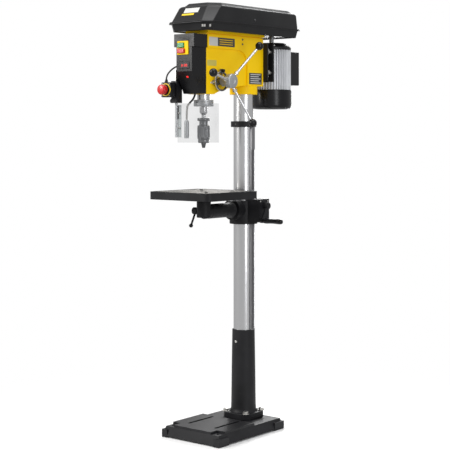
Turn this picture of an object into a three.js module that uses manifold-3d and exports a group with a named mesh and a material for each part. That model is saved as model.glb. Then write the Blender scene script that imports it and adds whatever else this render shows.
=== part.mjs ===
// Floor-standing drill press. Millimetres, +Z up, column axis at X = Y = 0, floor at Z = 0,
// the operator stands at -Y. Each sub-part is one closed solid in its own named mesh.
import * as THREE from 'three';
import { mergeVertices } from 'three/addons/utils/BufferGeometryUtils.js';
import Module from 'manifold-3d';

const wasm = await Module();
wasm.setup();

// ---- driving dimensions ----
const gap = 0.3; // between pieces that touch
const running = 0.5; // round a piece that turns or slides in a bore

const columnR = 40;
const columnWall = 5;
const spindleReach = 249; // column axis to spindle axis
const baseHalfX = 143.5;
const baseFront = -330.4;
const baseBack = 79;
const baseTop = 42;
const baseInset = 12; // draft of the base's sides over their height
const padHigh = 5.5;
const workTop = 51; // machined clamping area on the base
const slotWide = 13;
const slotX = 66;
const flangeHalf = columnR + 27.5;
const flangeHigh = 24;
const pedestalFootR = columnR + 10;
const pedestalTopR = columnR + 5;
const pedestalTop = 394;
const rackWide = 20;
const rackDeep = 10;
const rackTop = 1204;
const rackToothTop = 1116;
const toothPitch = 3 * Math.PI;
const toothDeep = 3.6;
const collarHigh = 23;
const collarR = columnR + 11;

const headBottom = 1368;
const headCollarLow = 1335;
const headTop = 1574;
const headHalfX = 45;
const headWall = 9;
const headRibX = 52; // half width over the raised frame
const headFront = -spindleReach - 38;
const headBack = columnR + 22;
const ribLineZ = 1507;
const columnTop = 1500;
const pinionY = -spindleReach + 36;
const pinionZ = 1380;
const pinionR = 12.5;

const panHalfX = 104;
const panFront = headFront - 63;
const panLow = 1570;
const panRim = 1602;
const panCorner = 30.5;
const sheet = 2.5; // covers' wall
const lidHigh = 66;
const lidPanelHigh = 12;
const lidLean = 44; // how far the lid's front leans back
const lidBackLean = 8;
const panDraft = 6;
const rimLip = 2.4;
const lipOut = 6.5; // the folded rim that the lid closes on
const lipHigh = 3.5;

const idlerY = -40;
const beltStep = 14;
const grooveHigh = 9;
const grooveDeep = 6;
const beltThick = 7.5;
const beltSeat = 0.8; // belt's inner face over the groove's floor
const pulleyZ = 1604;
const spindleSteps = [66, 60, 54, 48];
const idlerSteps = [44, 50, 56, 62];
const motorSteps = [35, 29, 23, 17];
const frontBeltStep = 0;
const rearBeltStep = 2;

const motorFinR = 80;
const motorR = motorFinR + 3; // fan cover
const motorLow = 1358;
const motorTop = 1523;
const bellTop = 1550;
const fanLow = 1279;
const shaftR = 9.5;
const motorPlateY = headBack + 35;
const motorPlateThick = 8;
const motorY = motorPlateY + motorPlateThick + motorFinR + 2;
const panBack = motorY + 42;
const motorPlateHalfX = 75;
const motorPlateLow = 1387;
const motorPlateTop = 1545;
const slideBarX = 62;
const slideBarR = 7;
const slideBarZ = [1424, 1508];

const quillR = 25;
const quillLow = 1281;
const nosePlateR = quillR + 13.5;
const spindleR = 8;
const chuckTop = 1239;
const chuckNoseR = 21.5;
const chuckSleeveR = 24.2;
const jawTip = 1123;

const feedHubX = 66;
const feedHubLong = 54;
const feedHubR = 28;
const feedNeckR = 20;
const leverStartX = 108;
const leverStartR = 22;
const leverEndX = 162;
const leverEndR = 174;
const leverR = 4.5;
const knobR = 16;
const firstLever = 52; // degrees from +Y towards +Z
const ringX = 56;
const ringR = 38;
const ringWide = 8;

const tableSize = 306;
const tableTop = 955.6;
const tableHigh = 30;
const tableCornerR = 24;
const tableHoleR = 12.5;
const tableSlotIn = 55;
const tableSlotOut = 152;
const tiltZ = 876;
const armR = 28;
const socketR = 27;
const stemR = 16;
const flangeR = 42;
const flangeY = -columnR - 28;
const bracketLow = 817;
const bracketHigh = 910;
const bracketR = columnR + 16;
const caseLow = 827;
const caseHigh = 918;
const caseFar = columnR + 65;
const caseHalfY = 32;
const crankZ = 892;
const crankLong = 64;
const liftPinionR = 11.5;

const switchLow = 1478;
const switchHigh = 1530;
const coverFront = headFront - 78;

const guardTop = 1294;
const guardLow = 1144;
const guardX = -69;
const guardY = headFront - 43;
const guardFar = 69;
const guardThick = 3;

// ---- finishes ----
const finish = (color, roughness, metalness = 0) =>
  new THREE.MeshStandardMaterial({ color, roughness, metalness });
const blackIron = () => finish(0x16171a, 0.6);
const blackSheet = () => finish(0x101114, 0.35);
const yellowPaint = () => finish(0xe2b21c, 0.4);
const groundSteel = () => finish(0xb4b6b8, 0.3, 1);
const darkSteel = () => finish(0x4a4b4f, 0.35, 1);
const aluminium = () => finish(0xa9adb0, 0.45, 1);
const blackPlastic = () => finish(0x0c0c0e, 0.45);
const rubber = () => finish(0x0a0a0a, 0.8);

// ---- solids ----
function solid(geometry) {
  geometry.deleteAttribute('normal');
  geometry.deleteAttribute('uv');
  const merged = mergeVertices(geometry, 1e-4);
  const vertProperties = new Float32Array(merged.attributes.position.array);
  const triVerts = new Uint32Array(merged.index.array);
  return new wasm.Manifold(new wasm.Mesh({ numProp: 3, vertProperties, triVerts }));
}

function shell(body) {
  const { vertProperties, triVerts } = body.getMesh();
  const geometry = new THREE.BufferGeometry();
  geometry.setAttribute('position', new THREE.BufferAttribute(vertProperties, 3));
  geometry.setIndex(new THREE.BufferAttribute(triVerts, 1));
  geometry.computeVertexNormals();
  return geometry;
}

const join = (...bodies) => bodies.reduce((whole, body) => whole.add(body));
const cut = (body, ...tools) => tools.reduce((left, tool) => left.subtract(tool), body);

function block([x0, x1], [y0, y1], [z0, z1]) {
  const box = new THREE.BoxGeometry(x1 - x0, y1 - y0, z1 - z0);
  return solid(box.translate((x0 + x1) / 2, (y0 + y1) / 2, (z0 + z1) / 2));
}

// A block whose top is drawn in by inset on the X sides and on the Y sides.
function drafted([x0, x1], [y0, y1], [z0, z1], inset) {
  const box = new THREE.BoxGeometry(x1 - x0, y1 - y0, z1 - z0);
  const place = box.attributes.position;
  for (let i = 0; i < place.count; i += 1) {
    const draw = place.getZ(i) > 0 ? inset : 0;
    place.setX(i, place.getX(i) - Math.sign(place.getX(i)) * draw);
    place.setY(i, place.getY(i) - Math.sign(place.getY(i)) * draw);
  }
  return solid(box.translate((x0 + x1) / 2, (y0 + y1) / 2, (z0 + z1) / 2));
}

// Round bars along each axis, from a to b, centred on the other two coordinates.
function barZ(r, [a, b], [x, y] = [0, 0], sides = 16) {
  const bar = new THREE.CylinderGeometry(r, r, b - a, sides).rotateX(Math.PI / 2);
  return solid(bar.translate(x, y, (a + b) / 2));
}

function barY(r, [a, b], [x, z], sides = 16) {
  return solid(new THREE.CylinderGeometry(r, r, b - a, sides).translate(x, (a + b) / 2, z));
}

function barX(r, [a, b], [y, z], sides = 16) {
  const bar = new THREE.CylinderGeometry(r, r, b - a, sides).rotateZ(Math.PI / 2);
  return solid(bar.translate((a + b) / 2, y, z));
}

// Round tools that cut a hole whose facets stay outside the radius.
const around = (r, sides) => r / Math.cos(Math.PI / sides);
const holeX = (r, span, at, sides = 16) => barX(around(r, sides), span, at, sides);
const holeY = (r, span, at, sides = 16) => barY(around(r, sides), span, at, sides);
const holeZ = (r, span, at, sides = 16) => barZ(around(r, sides), span, at, sides);

// A round bar between any two points.
function strut(r, from, to, sides = 16) {
  const a = new THREE.Vector3(...from);
  const along = new THREE.Vector3(...to).sub(a);
  const bar = new THREE.CylinderGeometry(r, r, along.length(), sides);
  bar.applyQuaternion(
    new THREE.Quaternion().setFromUnitVectors(new THREE.Vector3(0, 1, 0), along.clone().normalize()),
  );
  const middle = a.addScaledVector(along, 0.5);
  return solid(bar.translate(middle.x, middle.y, middle.z));
}

function ball(r, [x, y, z]) {
  return solid(new THREE.SphereGeometry(r, 12, 7).translate(x, y, z));
}

// A body turned about +Z from [radius, height] points that begin and end on the axis.
function turned(profile, sides = 16) {
  const points = profile.map(([r, z]) => new THREE.Vector2(r, z));
  return solid(new THREE.LatheGeometry(points, sides).rotateX(Math.PI / 2));
}

// A plan outline raised from z0 to z1.
function raised(shape, [z0, z1], curveSegments = 2) {
  const settings = { depth: z1 - z0, bevelEnabled: false, curveSegments };
  return solid(new THREE.ExtrudeGeometry(shape, settings).translate(0, 0, z0));
}

// A side outline in Y and Z, as wide as x0 to x1.
function sideways(shape, [x0, x1]) {
  const settings = { depth: x1 - x0, bevelEnabled: false, curveSegments: 4 };
  const slab = new THREE.ExtrudeGeometry(shape, settings);
  slab.rotateX(Math.PI / 2).rotateZ(Math.PI / 2);
  return solid(slab.translate(x0, 0, 0));
}

// A body that changes from one plan outline at z0 to another, of as many points, at z1.
function lofted(low, z0, high, z1) {
  const slab = new THREE.ExtrudeGeometry(outline(low), { depth: z1 - z0, bevelEnabled: false });
  const place = slab.attributes.position;
  for (let i = 0; i < place.count; i += 1) {
    const near = ([x, y]) => Math.hypot(x - place.getX(i), y - place.getY(i)) < 1e-3;
    if (place.getZ(i) > 0) place.setXY(i, ...high[low.findIndex(near)]);
  }
  return solid(slab.translate(0, 0, z0));
}

function outline(points) {
  return new THREE.Shape(points.map(([a, b]) => new THREE.Vector2(a, b)));
}

function roundedRect([x0, x1], [y0, y1], r) {
  const shape = new THREE.Shape();
  shape.moveTo(x0 + r, y0);
  shape.lineTo(x1 - r, y0).absarc(x1 - r, y0 + r, r, -Math.PI / 2, 0);
  shape.lineTo(x1, y1 - r).absarc(x1 - r, y1 - r, r, 0, Math.PI / 2);
  shape.lineTo(x0 + r, y1).absarc(x0 + r, y1 - r, r, Math.PI / 2, Math.PI);
  shape.lineTo(x0, y0 + r).absarc(x0 + r, y0 + r, r, Math.PI, 1.5 * Math.PI);
  return shape;
}

function tube(points, r, steps, sides) {
  const curve = new THREE.CatmullRomCurve3(points.map((p) => new THREE.Vector3(...p)));
  const section = new THREE.Shape().absarc(0, 0, r, 0, 2 * Math.PI);
  const settings = { extrudePath: curve, steps, curveSegments: sides / 2, bevelEnabled: false };
  return solid(new THREE.ExtrudeGeometry(section, settings));
}

const press = new THREE.Group();

function place(group, name, body, material, at = [0, 0, 0]) {
  const mesh = new THREE.Mesh(shell(body), material);
  mesh.name = name;
  mesh.position.set(...at);
  group.add(mesh);
}

// ---- base ----
function makeBase() {
  const wall = 9;
  const deck = 30;
  const bossR = 34;
  const padLong = 60;
  const padWide = 26;
  let body = drafted([-baseHalfX, baseHalfX], [baseFront, baseBack], [padHigh, baseTop], baseInset);
  const hollow = drafted(
    [-baseHalfX + wall, baseHalfX - wall],
    [baseFront + wall, baseBack - wall],
    [padHigh - 1, deck],
    baseInset / 2,
  );
  const boss = barZ(bossR, [0, deck + 1]);
  body = join(cut(body, hollow), boss);
  const workFront = baseFront + baseInset + 1;
  const workBack = -98;
  const workHalf = baseHalfX - baseInset - 1;
  const cornerCut = 38;
  const workArea = outline([
    [-workHalf + cornerCut, workFront],
    [workHalf - cornerCut, workFront],
    [workHalf - cornerCut, workFront + cornerCut],
    [workHalf, workFront + cornerCut],
    [workHalf, workBack],
    [-workHalf, workBack],
    [-workHalf, workFront + cornerCut],
    [-workHalf + cornerCut, workFront + cornerCut],
  ]);
  body = join(body, raised(workArea, [baseTop - 1, workTop]));
  for (const side of [-1, 1]) {
    const x = side * slotX;
    const slot = roundedRect([x - slotWide / 2, x + slotWide / 2], [-262, -112], slotWide / 2 - 0.01);
    body = cut(body, raised(slot, [0, workTop + 1]));
    const holeX = side * (workHalf - cornerCut / 2);
    body = cut(body, barZ(6, [0, baseTop + 1], [holeX, workFront + cornerCut / 2], 20));
    for (const y of [baseFront, baseBack - padLong]) {
      const x0 = side > 0 ? baseHalfX - padWide : -baseHalfX;
      body = join(body, block([x0, x0 + padWide], [y, y + padLong], [0, deck + 1]));
    }
  }
  place(press, 'base', body, blackIron());
}

// ---- column, its foot and its rack ----
function makeColumn() {
  const corner = 25;
  const low = baseTop + gap;
  const flange = outline([
    [-flangeHalf + corner, -flangeHalf],
    [flangeHalf - corner, -flangeHalf],
    [flangeHalf, -flangeHalf + corner],
    [flangeHalf, flangeHalf - corner],
    [flangeHalf - corner, flangeHalf],
    [-flangeHalf + corner, flangeHalf],
    [-flangeHalf, flangeHalf - corner],
    [-flangeHalf, -flangeHalf + corner],
  ]);
  const flangeTop = baseTop + flangeHigh;
  const foot = turned([
    [0, flangeTop - 1],
    [pedestalFootR + 6, flangeTop - 1],
    [pedestalFootR, flangeTop + 10],
    [pedestalTopR, pedestalTop],
    [0, pedestalTop],
  ], 24);
  let pedestal = join(raised(flange, [low, flangeTop]), foot);
  pedestal = cut(pedestal, holeZ(columnR + gap, [flangeTop, pedestalTop + 1], [0, 0], 20));
  place(press, 'pedestal', pedestal, blackIron());
  const columnTube = cut(
    barZ(columnR, [flangeTop + gap, columnTop], [0, 0], 20),
    barZ(columnR - columnWall, [flangeTop, columnTop + 1], [0, 0], 20),
  );
  place(press, 'column', columnTube, groundSteel());

  const rackX = columnR + gap;
  const rackLow = pedestalTop + gap;
  const rackFar = rackX + rackDeep;
  const shape = new THREE.Shape();
  shape.moveTo(rackX, rackLow);
  shape.lineTo(rackFar, rackLow);
  const teeth = Math.floor((rackToothTop - rackLow) / toothPitch);
  for (let i = 0; i < teeth; i += 1) {
    const z = rackLow + i * toothPitch;
    shape.lineTo(rackFar, z + toothPitch * 0.25);
    shape.lineTo(rackFar - toothDeep, z + toothPitch * 0.6);
    shape.lineTo(rackFar, z + toothPitch * 0.95);
  }
  shape.lineTo(rackFar, rackTop);
  shape.lineTo(rackX, rackTop);
  const settings = { depth: rackWide, bevelEnabled: false };
  const bar = new THREE.ExtrudeGeometry(shape, settings).rotateX(Math.PI / 2);
  place(press, 'column_rack', solid(bar.translate(0, rackWide / 2, 0)), groundSteel());

  const collarLow = rackTop + gap;
  const collar = cut(
    barZ(collarR, [collarLow, collarLow + collarHigh], [0, 0], 20),
    holeZ(columnR + gap, [collarLow - 1, collarLow + collarHigh + 1], [0, 0], 20),
  );
  place(press, 'rack_collar', collar, blackIron());
}

// ---- table bracket, lift drive and table ----
function makeTableBracket() {
  const ring = barZ(bracketR, [bracketLow, bracketHigh], [0, 0], 20);
  const gearCase = block([columnR, caseFar], [-caseHalfY, caseHalfY], [caseLow, caseHigh]);
  const seat = barY(flangeR, [flangeY, -columnR / 2], [0, tiltZ]);
  const topTrim = block([-flangeR, flangeR], [flangeY - 1, 0], [bracketHigh, tiltZ + flangeR + 1]);
  const lockBoss = barX(15, [-bracketR - 14, -columnR], [0, (bracketLow + bracketHigh) / 2]);
  const rackX = columnR + gap;
  const bore = holeZ(columnR + running, [bracketLow - 1, caseHigh + 1], [0, 0], 20);
  const rackWay = block(
    [columnR - 4, rackX + rackDeep + running],
    [-rackWide / 2 - running, rackWide / 2 + running],
    [bracketLow - 1, caseHigh + 1],
  );
  const pinionX = rackX + rackDeep + liftPinionR + gap;
  const cavity = block([columnR + 3, caseFar - 8], [-24, 24], [caseLow + 7, caseHigh - 7]);
  const shaftHole = holeX(6 + running, [caseFar - 10, caseFar + 1], [0, crankZ], 24);
  const boltHole = holeY(6 + running, [flangeY - 1, -columnR + 6], [0, tiltZ], 20);
  const lockHole = holeX(5 + running, [-bracketR - 15, -columnR], [0, (bracketLow + bracketHigh) / 2], 20);
  const bracket = cut(
    join(ring, gearCase, cut(seat, topTrim), lockBoss),
    bore, rackWay, cavity, shaftHole, boltHole, lockHole,
  );
  place(press, 'table_bracket', bracket, blackIron());

  const liftZ = crankZ - 30;
  const shape = new THREE.Shape();
  const pinionTeeth = 9;
  for (let i = 0; i < pinionTeeth; i += 1) {
    for (const [part, r] of [[0, 1], [0.35, 1], [0.5, 0.76], [0.85, 0.76]]) {
      const angle = ((i + part) / pinionTeeth) * 2 * Math.PI;
      const [a, b] = [liftPinionR * r * Math.cos(angle), liftPinionR * r * Math.sin(angle)];
      if (i === 0 && part === 0) shape.moveTo(a, b);
      else shape.lineTo(a, b);
    }
  }
  const settings = { depth: 18, bevelEnabled: false };
  const gear = new THREE.ExtrudeGeometry(shape, settings).translate(0, 0, -9).rotateX(Math.PI / 2);
  const wheel = barY(17, [11, 21], [0, 0], 20);
  const pin = barY(5, [-22, 22], [0, 0], 20);
  place(press, 'lift_pinion', join(solid(gear), wheel, pin), darkSteel(), [pinionX, 0, liftZ]);

  // crank: worm, shaft, hub and arm in one forging
  const hubX = caseFar + gap;
  const armEndY = -27;
  const armEndZ = crankZ - Math.sqrt(crankLong ** 2 - armEndY ** 2);
  const worm = barX(9, [pinionX - 8, caseFar - 9], [0, crankZ], 24);
  const shaft = barX(6, [caseFar - 12, hubX + 20], [0, crankZ], 24);
  const hub = barX(13, [hubX, hubX + 22], [0, crankZ], 24);
  const arm = strut(6, [hubX + 14, 0, crankZ], [hubX + 9, armEndY, armEndZ]);
  const eye = barX(9, [hubX + 2, hubX + 14], [armEndY, armEndZ], 20);
  const gripX = hubX + 17;
  const gripPin = barX(4, [hubX + 10, gripX + 84], [armEndY, armEndZ], 16);
  place(press, 'lift_crank', join(worm, shaft, hub, arm, eye, gripPin), blackIron());
  const grip = turned([
    [0, 0], [8, 0], [10.5, 12], [9, 45], [10.5, 78], [8, 90], [0, 90],
  ], 20);
  const gripBore = holeZ(4 + running, [-1, 85], [0, 0], 16);
  const gripBody = shell(cut(grip, gripBore)).rotateY(Math.PI / 2);
  place(press, 'crank_grip', solid(gripBody), blackPlastic(), [gripX, armEndY, armEndZ]);

  const lockX = -bracketR - 14 - gap;
  const lockBolt = barX(5, [lockX - 18, -columnR - 6], [0, 0], 16);
  const lockHub = barX(10, [lockX - 16, lockX], [0, 0], 20);
  const lockRod = strut(4, [lockX - 9, 0, 0], [lockX - 14, 62, -38], 12);
  const lockKnob = ball(10, [lockX - 14, 62, -38]);
  const lockAt = [0, 0, (bracketLow + bracketHigh) / 2];
  place(press, 'column_lock_lever', join(lockBolt, lockHub, lockRod, lockKnob), darkSteel(), lockAt);
}

function makeTable() {
  const y = -spindleReach + 1;
  const half = tableSize / 2;
  const low = tableTop - tableHigh;
  const armFlange = flangeY - gap;
  const flange = barY(flangeR, [armFlange - 10, armFlange], [0, tiltZ]);
  const flangeTrim = block([-flangeR, flangeR], [armFlange - 11, armFlange + 1], [bracketHigh, 2000]);
  const beam = barY(armR, [y, armFlange - 5], [0, tiltZ]);
  const socketTop = low - 10;
  const socket = barZ(socketR, [tiltZ - 22, socketTop], [0, y]);
  const stemHole = holeZ(stemR + running, [tiltZ - 15, socketTop + 5], [0, y]);
  const boltHole = holeY(6 + running, [armFlange - 22, armFlange + 1], [0, tiltZ], 20);
  const clampHole = holeX(5 + running, [-armR - 1, -stemR], [y, tiltZ + 2], 16);
  const arm = cut(
    join(cut(flange, flangeTrim), beam, socket), stemHole, boltHole, clampHole,
  );
  place(press, 'table_arm', arm, blackIron());
  place(press, 'tilt_bolt', barY(6, [armFlange - 21, -columnR - 2], [0, tiltZ], 20), darkSteel());

  const clampX = -armR - gap;
  const clampHub = barX(14, [clampX - 22, clampX], [0, 0], 20);
  const clampBolt = barX(5, [clampX - 20, -stemR - running], [0, 0], 16);
  const clampRod = strut(4, [clampX - 12, 0, 0], [clampX - 16, -24, -56], 12);
  const clampKnob = ball(8, [clampX - 16, -24, -56]);
  const clamp = join(clampHub, clampBolt, clampRod, clampKnob);
  place(press, 'table_clamp_lever', clamp, darkSteel(), [0, y, tiltZ + 2]);

  // table: ground top, gutter, skirt, four diagonal slots and a centre hole
  const rim = 9;
  const gutterWide = 13;
  const gutterDeep = 4;
  const skirt = 9;
  const span = [-half, half];
  let body = raised(roundedRect(span, span, tableCornerR), [low, tableTop]);
  const inside = [-half + skirt, half - skirt];
  const hollow = raised(roundedRect(inside, inside, tableCornerR - skirt + 2), [low - 1, low + 14]);
  const ribs = join(barZ(stemR + 18, [low, low + 15]), block([-6, 6], inside, [low, low + 15]));
  body = cut(body, cut(hollow, ribs));
  const gutterOut = [-half + rim, half - rim];
  const gutterIn = [-half + rim + gutterWide, half - rim - gutterWide];
  const gutter = cut(
    raised(roundedRect(gutterOut, gutterOut, tableCornerR - rim), [tableTop - gutterDeep, tableTop + 1]),
    raised(roundedRect(gutterIn, gutterIn, 8), [tableTop - gutterDeep - 1, tableTop + 2]),
  );
  body = cut(body, gutter);
  body = join(body, barZ(stemR, [tiltZ - 12, low + 1]), barZ(stemR + 8, [socketTop + gap, low + 1]));
  body = cut(body, barZ(tableHoleR, [tableTop - 18, tableTop + 1], [0, 0], 20));
  for (let i = 0; i < 4; i += 1) {
    const outer = roundedRect([tableSlotIn, tableSlotOut], [-slotWide / 2, slotWide / 2], slotWide / 2 - 0.01);
    const settings = { depth: 60, bevelEnabled: false, curveSegments: 3 };
    const slot = new THREE.ExtrudeGeometry(outer, settings).rotateZ(((i + 0.5) * Math.PI) / 2);
    body = cut(body, solid(slot.translate(0, 0, low - 2)));
  }
  place(press, 'table', body, groundSteel(), [0, y, 0]);
}

makeBase();
makeColumn();
makeTableBracket();
makeTable();

// ---- head ----
const throatY = -spindleReach;
const bellyLow = 1330; // underside at the head's front

function makeHead() {
  const neck = 1560;
  const belly = [
    [headFront, bellyLow], [headFront + 47, bellyLow], [headFront + 72, 1340], [headFront + 137, 1356],
    [-columnR - 20, headBottom],
    [headBack, headBottom],
  ];
  const core = outline([...belly, [headBack, neck], [headFront, neck]]);
  const frame = new THREE.Shape();
  frame.moveTo(headFront, ribLineZ);
  frame.lineTo(-97, ribLineZ).absarc(-97, ribLineZ - 57, 57, Math.PI / 2, 0, true);
  frame.lineTo(-40, headBottom);
  frame.lineTo(headBack, headBottom);
  frame.lineTo(headBack, neck);
  frame.lineTo(headFront, neck);
  const collar = barZ(columnR + 15, [headCollarLow, headBottom + 1], [0, 0], 20);
  const throat = block([-headHalfX, headHalfX], [headFront, headBack], [neck - 1, neck + 5]);
  const lip = block([-56, 56], [headFront - 3, headBack + 4], [neck + 4, headTop]);
  const pinionBore = holeX(pinionR + running, [-headHalfX - 8, headHalfX + 8], [pinionY, pinionZ], 24);
  const quillBore = holeZ(quillR + running, [bellyLow - 1, headTop + 1], [0, throatY]);
  const columnBore = holeZ(columnR + gap, [headCollarLow - 1, columnTop + 2], [0, 0], 20);
  const hollow = block(
    [-headHalfX + headWall, headHalfX - headWall],
    [pinionY + pinionR + 2 * headWall, -columnR - gap - headWall],
    [headBottom + 2 * headWall, headTop + 1],
  );
  const head = cut(
    join(
      sideways(core, [-headHalfX, headHalfX]), sideways(frame, [-headRibX, headRibX]),
      collar, throat, lip,
    ),
    pinionBore, quillBore, columnBore, hollow,
  );
  place(press, 'head_casting', head, yellowPaint());

  // front cover over the quill side of the head, with the switch and the speed display in it
  const back = headFront - gap;
  const upper = block([-50, 50], [coverFront, back], [1508, 1557]);
  const lowerSide = outline([
    [back, 1331], [headFront - 31, 1331], [coverFront + 1, 1415], [coverFront + 1, 1509], [back, 1509],
  ]);
  const taper = outline([[-45, back], [-39, coverFront + 1], [39, coverFront + 1], [45, back]]);
  const switchWell = block([-32 - gap, 22 + gap], [coverFront - 1, coverFront + 30], [switchLow - gap, switchHigh + gap]);
  const displayWell = block([-22 - gap, 26 + gap], [coverFront - 1, coverFront + 13], [1424 - gap, 1451 + gap]);
  const cover = cut(
    join(upper, sideways(lowerSide, [-45, 45]).intersect(raised(taper, [1300, 1520]))),
    switchWell, displayWell,
  );
  place(press, 'front_cover', cover, blackPlastic());

  const plateFront = coverFront - 3;
  const buttonY = plateFront - 5;
  const startSpan = [[-28, 3], [1505, 1523]];
  const stopSpan = [[-28, 6], [1484, 1501]];
  const wells = [startSpan, stopSpan].map(([x, z]) =>
    block([x[0] - running, x[1] + running], [plateFront - 1, coverFront + 25], [z[0] - running, z[1] + running]));
  const plate = block([-32, 22], [plateFront, coverFront + 30 - gap], [switchLow, switchHigh]);
  place(press, 'switch_housing', cut(plate, ...wells), yellowPaint());
  place(press, 'start_button', block(startSpan[0], [buttonY, coverFront + 17], startSpan[1]), finish(0x1f8a3b, 0.4));
  place(press, 'stop_button', block(stopSpan[0], [buttonY - 2, coverFront + 17], stopSpan[1]), finish(0xc01818, 0.4));
  const panel = block([-22, 26], [coverFront - 1, coverFront + 13 - gap], [1424, 1451]);
  place(press, 'speed_display', panel, blackPlastic());

  const springCap = turned([[0, 0], [32, 0], [32, 10], [27, 15], [10, 15], [9, 20], [0, 20]], 20);
  const capGeometry = shell(springCap).rotateY(-Math.PI / 2);
  place(press, 'return_spring_cap', solid(capGeometry), blackIron(), [-headHalfX - gap, pinionY, pinionZ]);
}

// ---- quill, spindle and keyless chuck ----
function makeQuill() {
  const quillGroup = new THREE.Group();
  quillGroup.position.set(0, throatY, 0);
  press.add(quillGroup);
  const quillTop = quillLow + 150;
  const rackWay = block([-9, 9], [quillR - 2.2, quillR + 1], [quillLow + 30, quillTop + 1]);
  const spindleWay = holeZ(spindleR + 4 + running, [quillLow - 1, quillTop + 1], [0, 0], 20);
  const quill = cut(barZ(quillR, [quillLow + 2, quillTop], [0, 0], 20), rackWay, spindleWay);
  place(quillGroup, 'quill', quill, groundSteel());

  const plateLow = quillLow + 2;
  const plate = cut(
    barZ(nosePlateR, [plateLow + gap, plateLow + 25], [0, 0], 20),
    holeZ(quillR + gap, [plateLow - 1, plateLow + 26], [0, 0], 20),
  );
  place(quillGroup, 'quill_collar', plate, aluminium());

  const shaftTop = pulleyZ + 40;
  const spindle = turned([
    [0, chuckTop - 20], [6, chuckTop - 20], [spindleR, chuckTop], [spindleR, 1252], [10, 1253],
    [15.5, 1260], [15.5, quillLow + 1.5], [12, quillLow + 1.5], [12, quillTop + 6], [spindleR, quillTop + 6],
    [spindleR, shaftTop], [0, shaftTop],
  ]);
  place(quillGroup, 'spindle', spindle, groundSteel());

  const sleeveLow = jawTip + 34;
  const sleeveTop = sleeveLow + 53;
  const bodyR = chuckSleeveR - 5;
  const cavityR = 16.6;
  const body = turned([
    [0, sleeveTop - 6], [cavityR, sleeveTop - 6], [cavityR, jawTip + 19], [chuckNoseR, jawTip + 19],
    [chuckNoseR, sleeveLow - running], [bodyR, sleeveLow - running], [bodyR, sleeveTop + running],
    [16.5, sleeveTop + running], [16.5, 1227], [chuckSleeveR, 1227], [chuckSleeveR, chuckTop - 1],
    [14, chuckTop - 1], [0, chuckTop - 1],
  ]);
  const arborSocket = turned([
    [0, chuckTop - 21], [6 + gap, chuckTop - 21], [spindleR + gap, chuckTop + 1], [0, chuckTop + 1],
  ]);
  place(quillGroup, 'chuck_body', cut(body, arborSocket), darkSteel());
  const sleeve = cut(
    turned([
      [0, sleeveLow], [chuckSleeveR - 2, sleeveLow], [chuckSleeveR, sleeveLow + 2],
      [chuckSleeveR, sleeveTop - 2], [chuckSleeveR - 2, sleeveTop], [0, sleeveTop],
    ]),
    holeZ(bodyR + running, [sleeveLow - 1, sleeveTop + 1]),
  );
  place(quillGroup, 'chuck_sleeve', sleeve, darkSteel());

  const jaw = turned([[0, jawTip], [5.5, jawTip], [9.5, jawTip + 16], [10.5, jawTip + 58], [0, jawTip + 58]], 24);
  const wedge = new THREE.Shape();
  wedge.moveTo(gap, 0);
  wedge.lineTo(30 * Math.cos(Math.PI / 3) + gap, 30 * Math.sin(Math.PI / 3));
  wedge.lineTo(34, 0);
  wedge.lineTo(30 * Math.cos(Math.PI / 3) + gap, -30 * Math.sin(Math.PI / 3));
  for (let i = 0; i < 3; i += 1) {
    const settings = { depth: 80, bevelEnabled: false };
    const third = new THREE.ExtrudeGeometry(wedge, settings).rotateZ((i * 2 * Math.PI) / 3 - Math.PI / 2);
    place(quillGroup, `chuck_jaw_${i + 1}`, jaw.intersect(solid(third.translate(0, 0, jawTip - 5))), darkSteel());
  }
}

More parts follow.
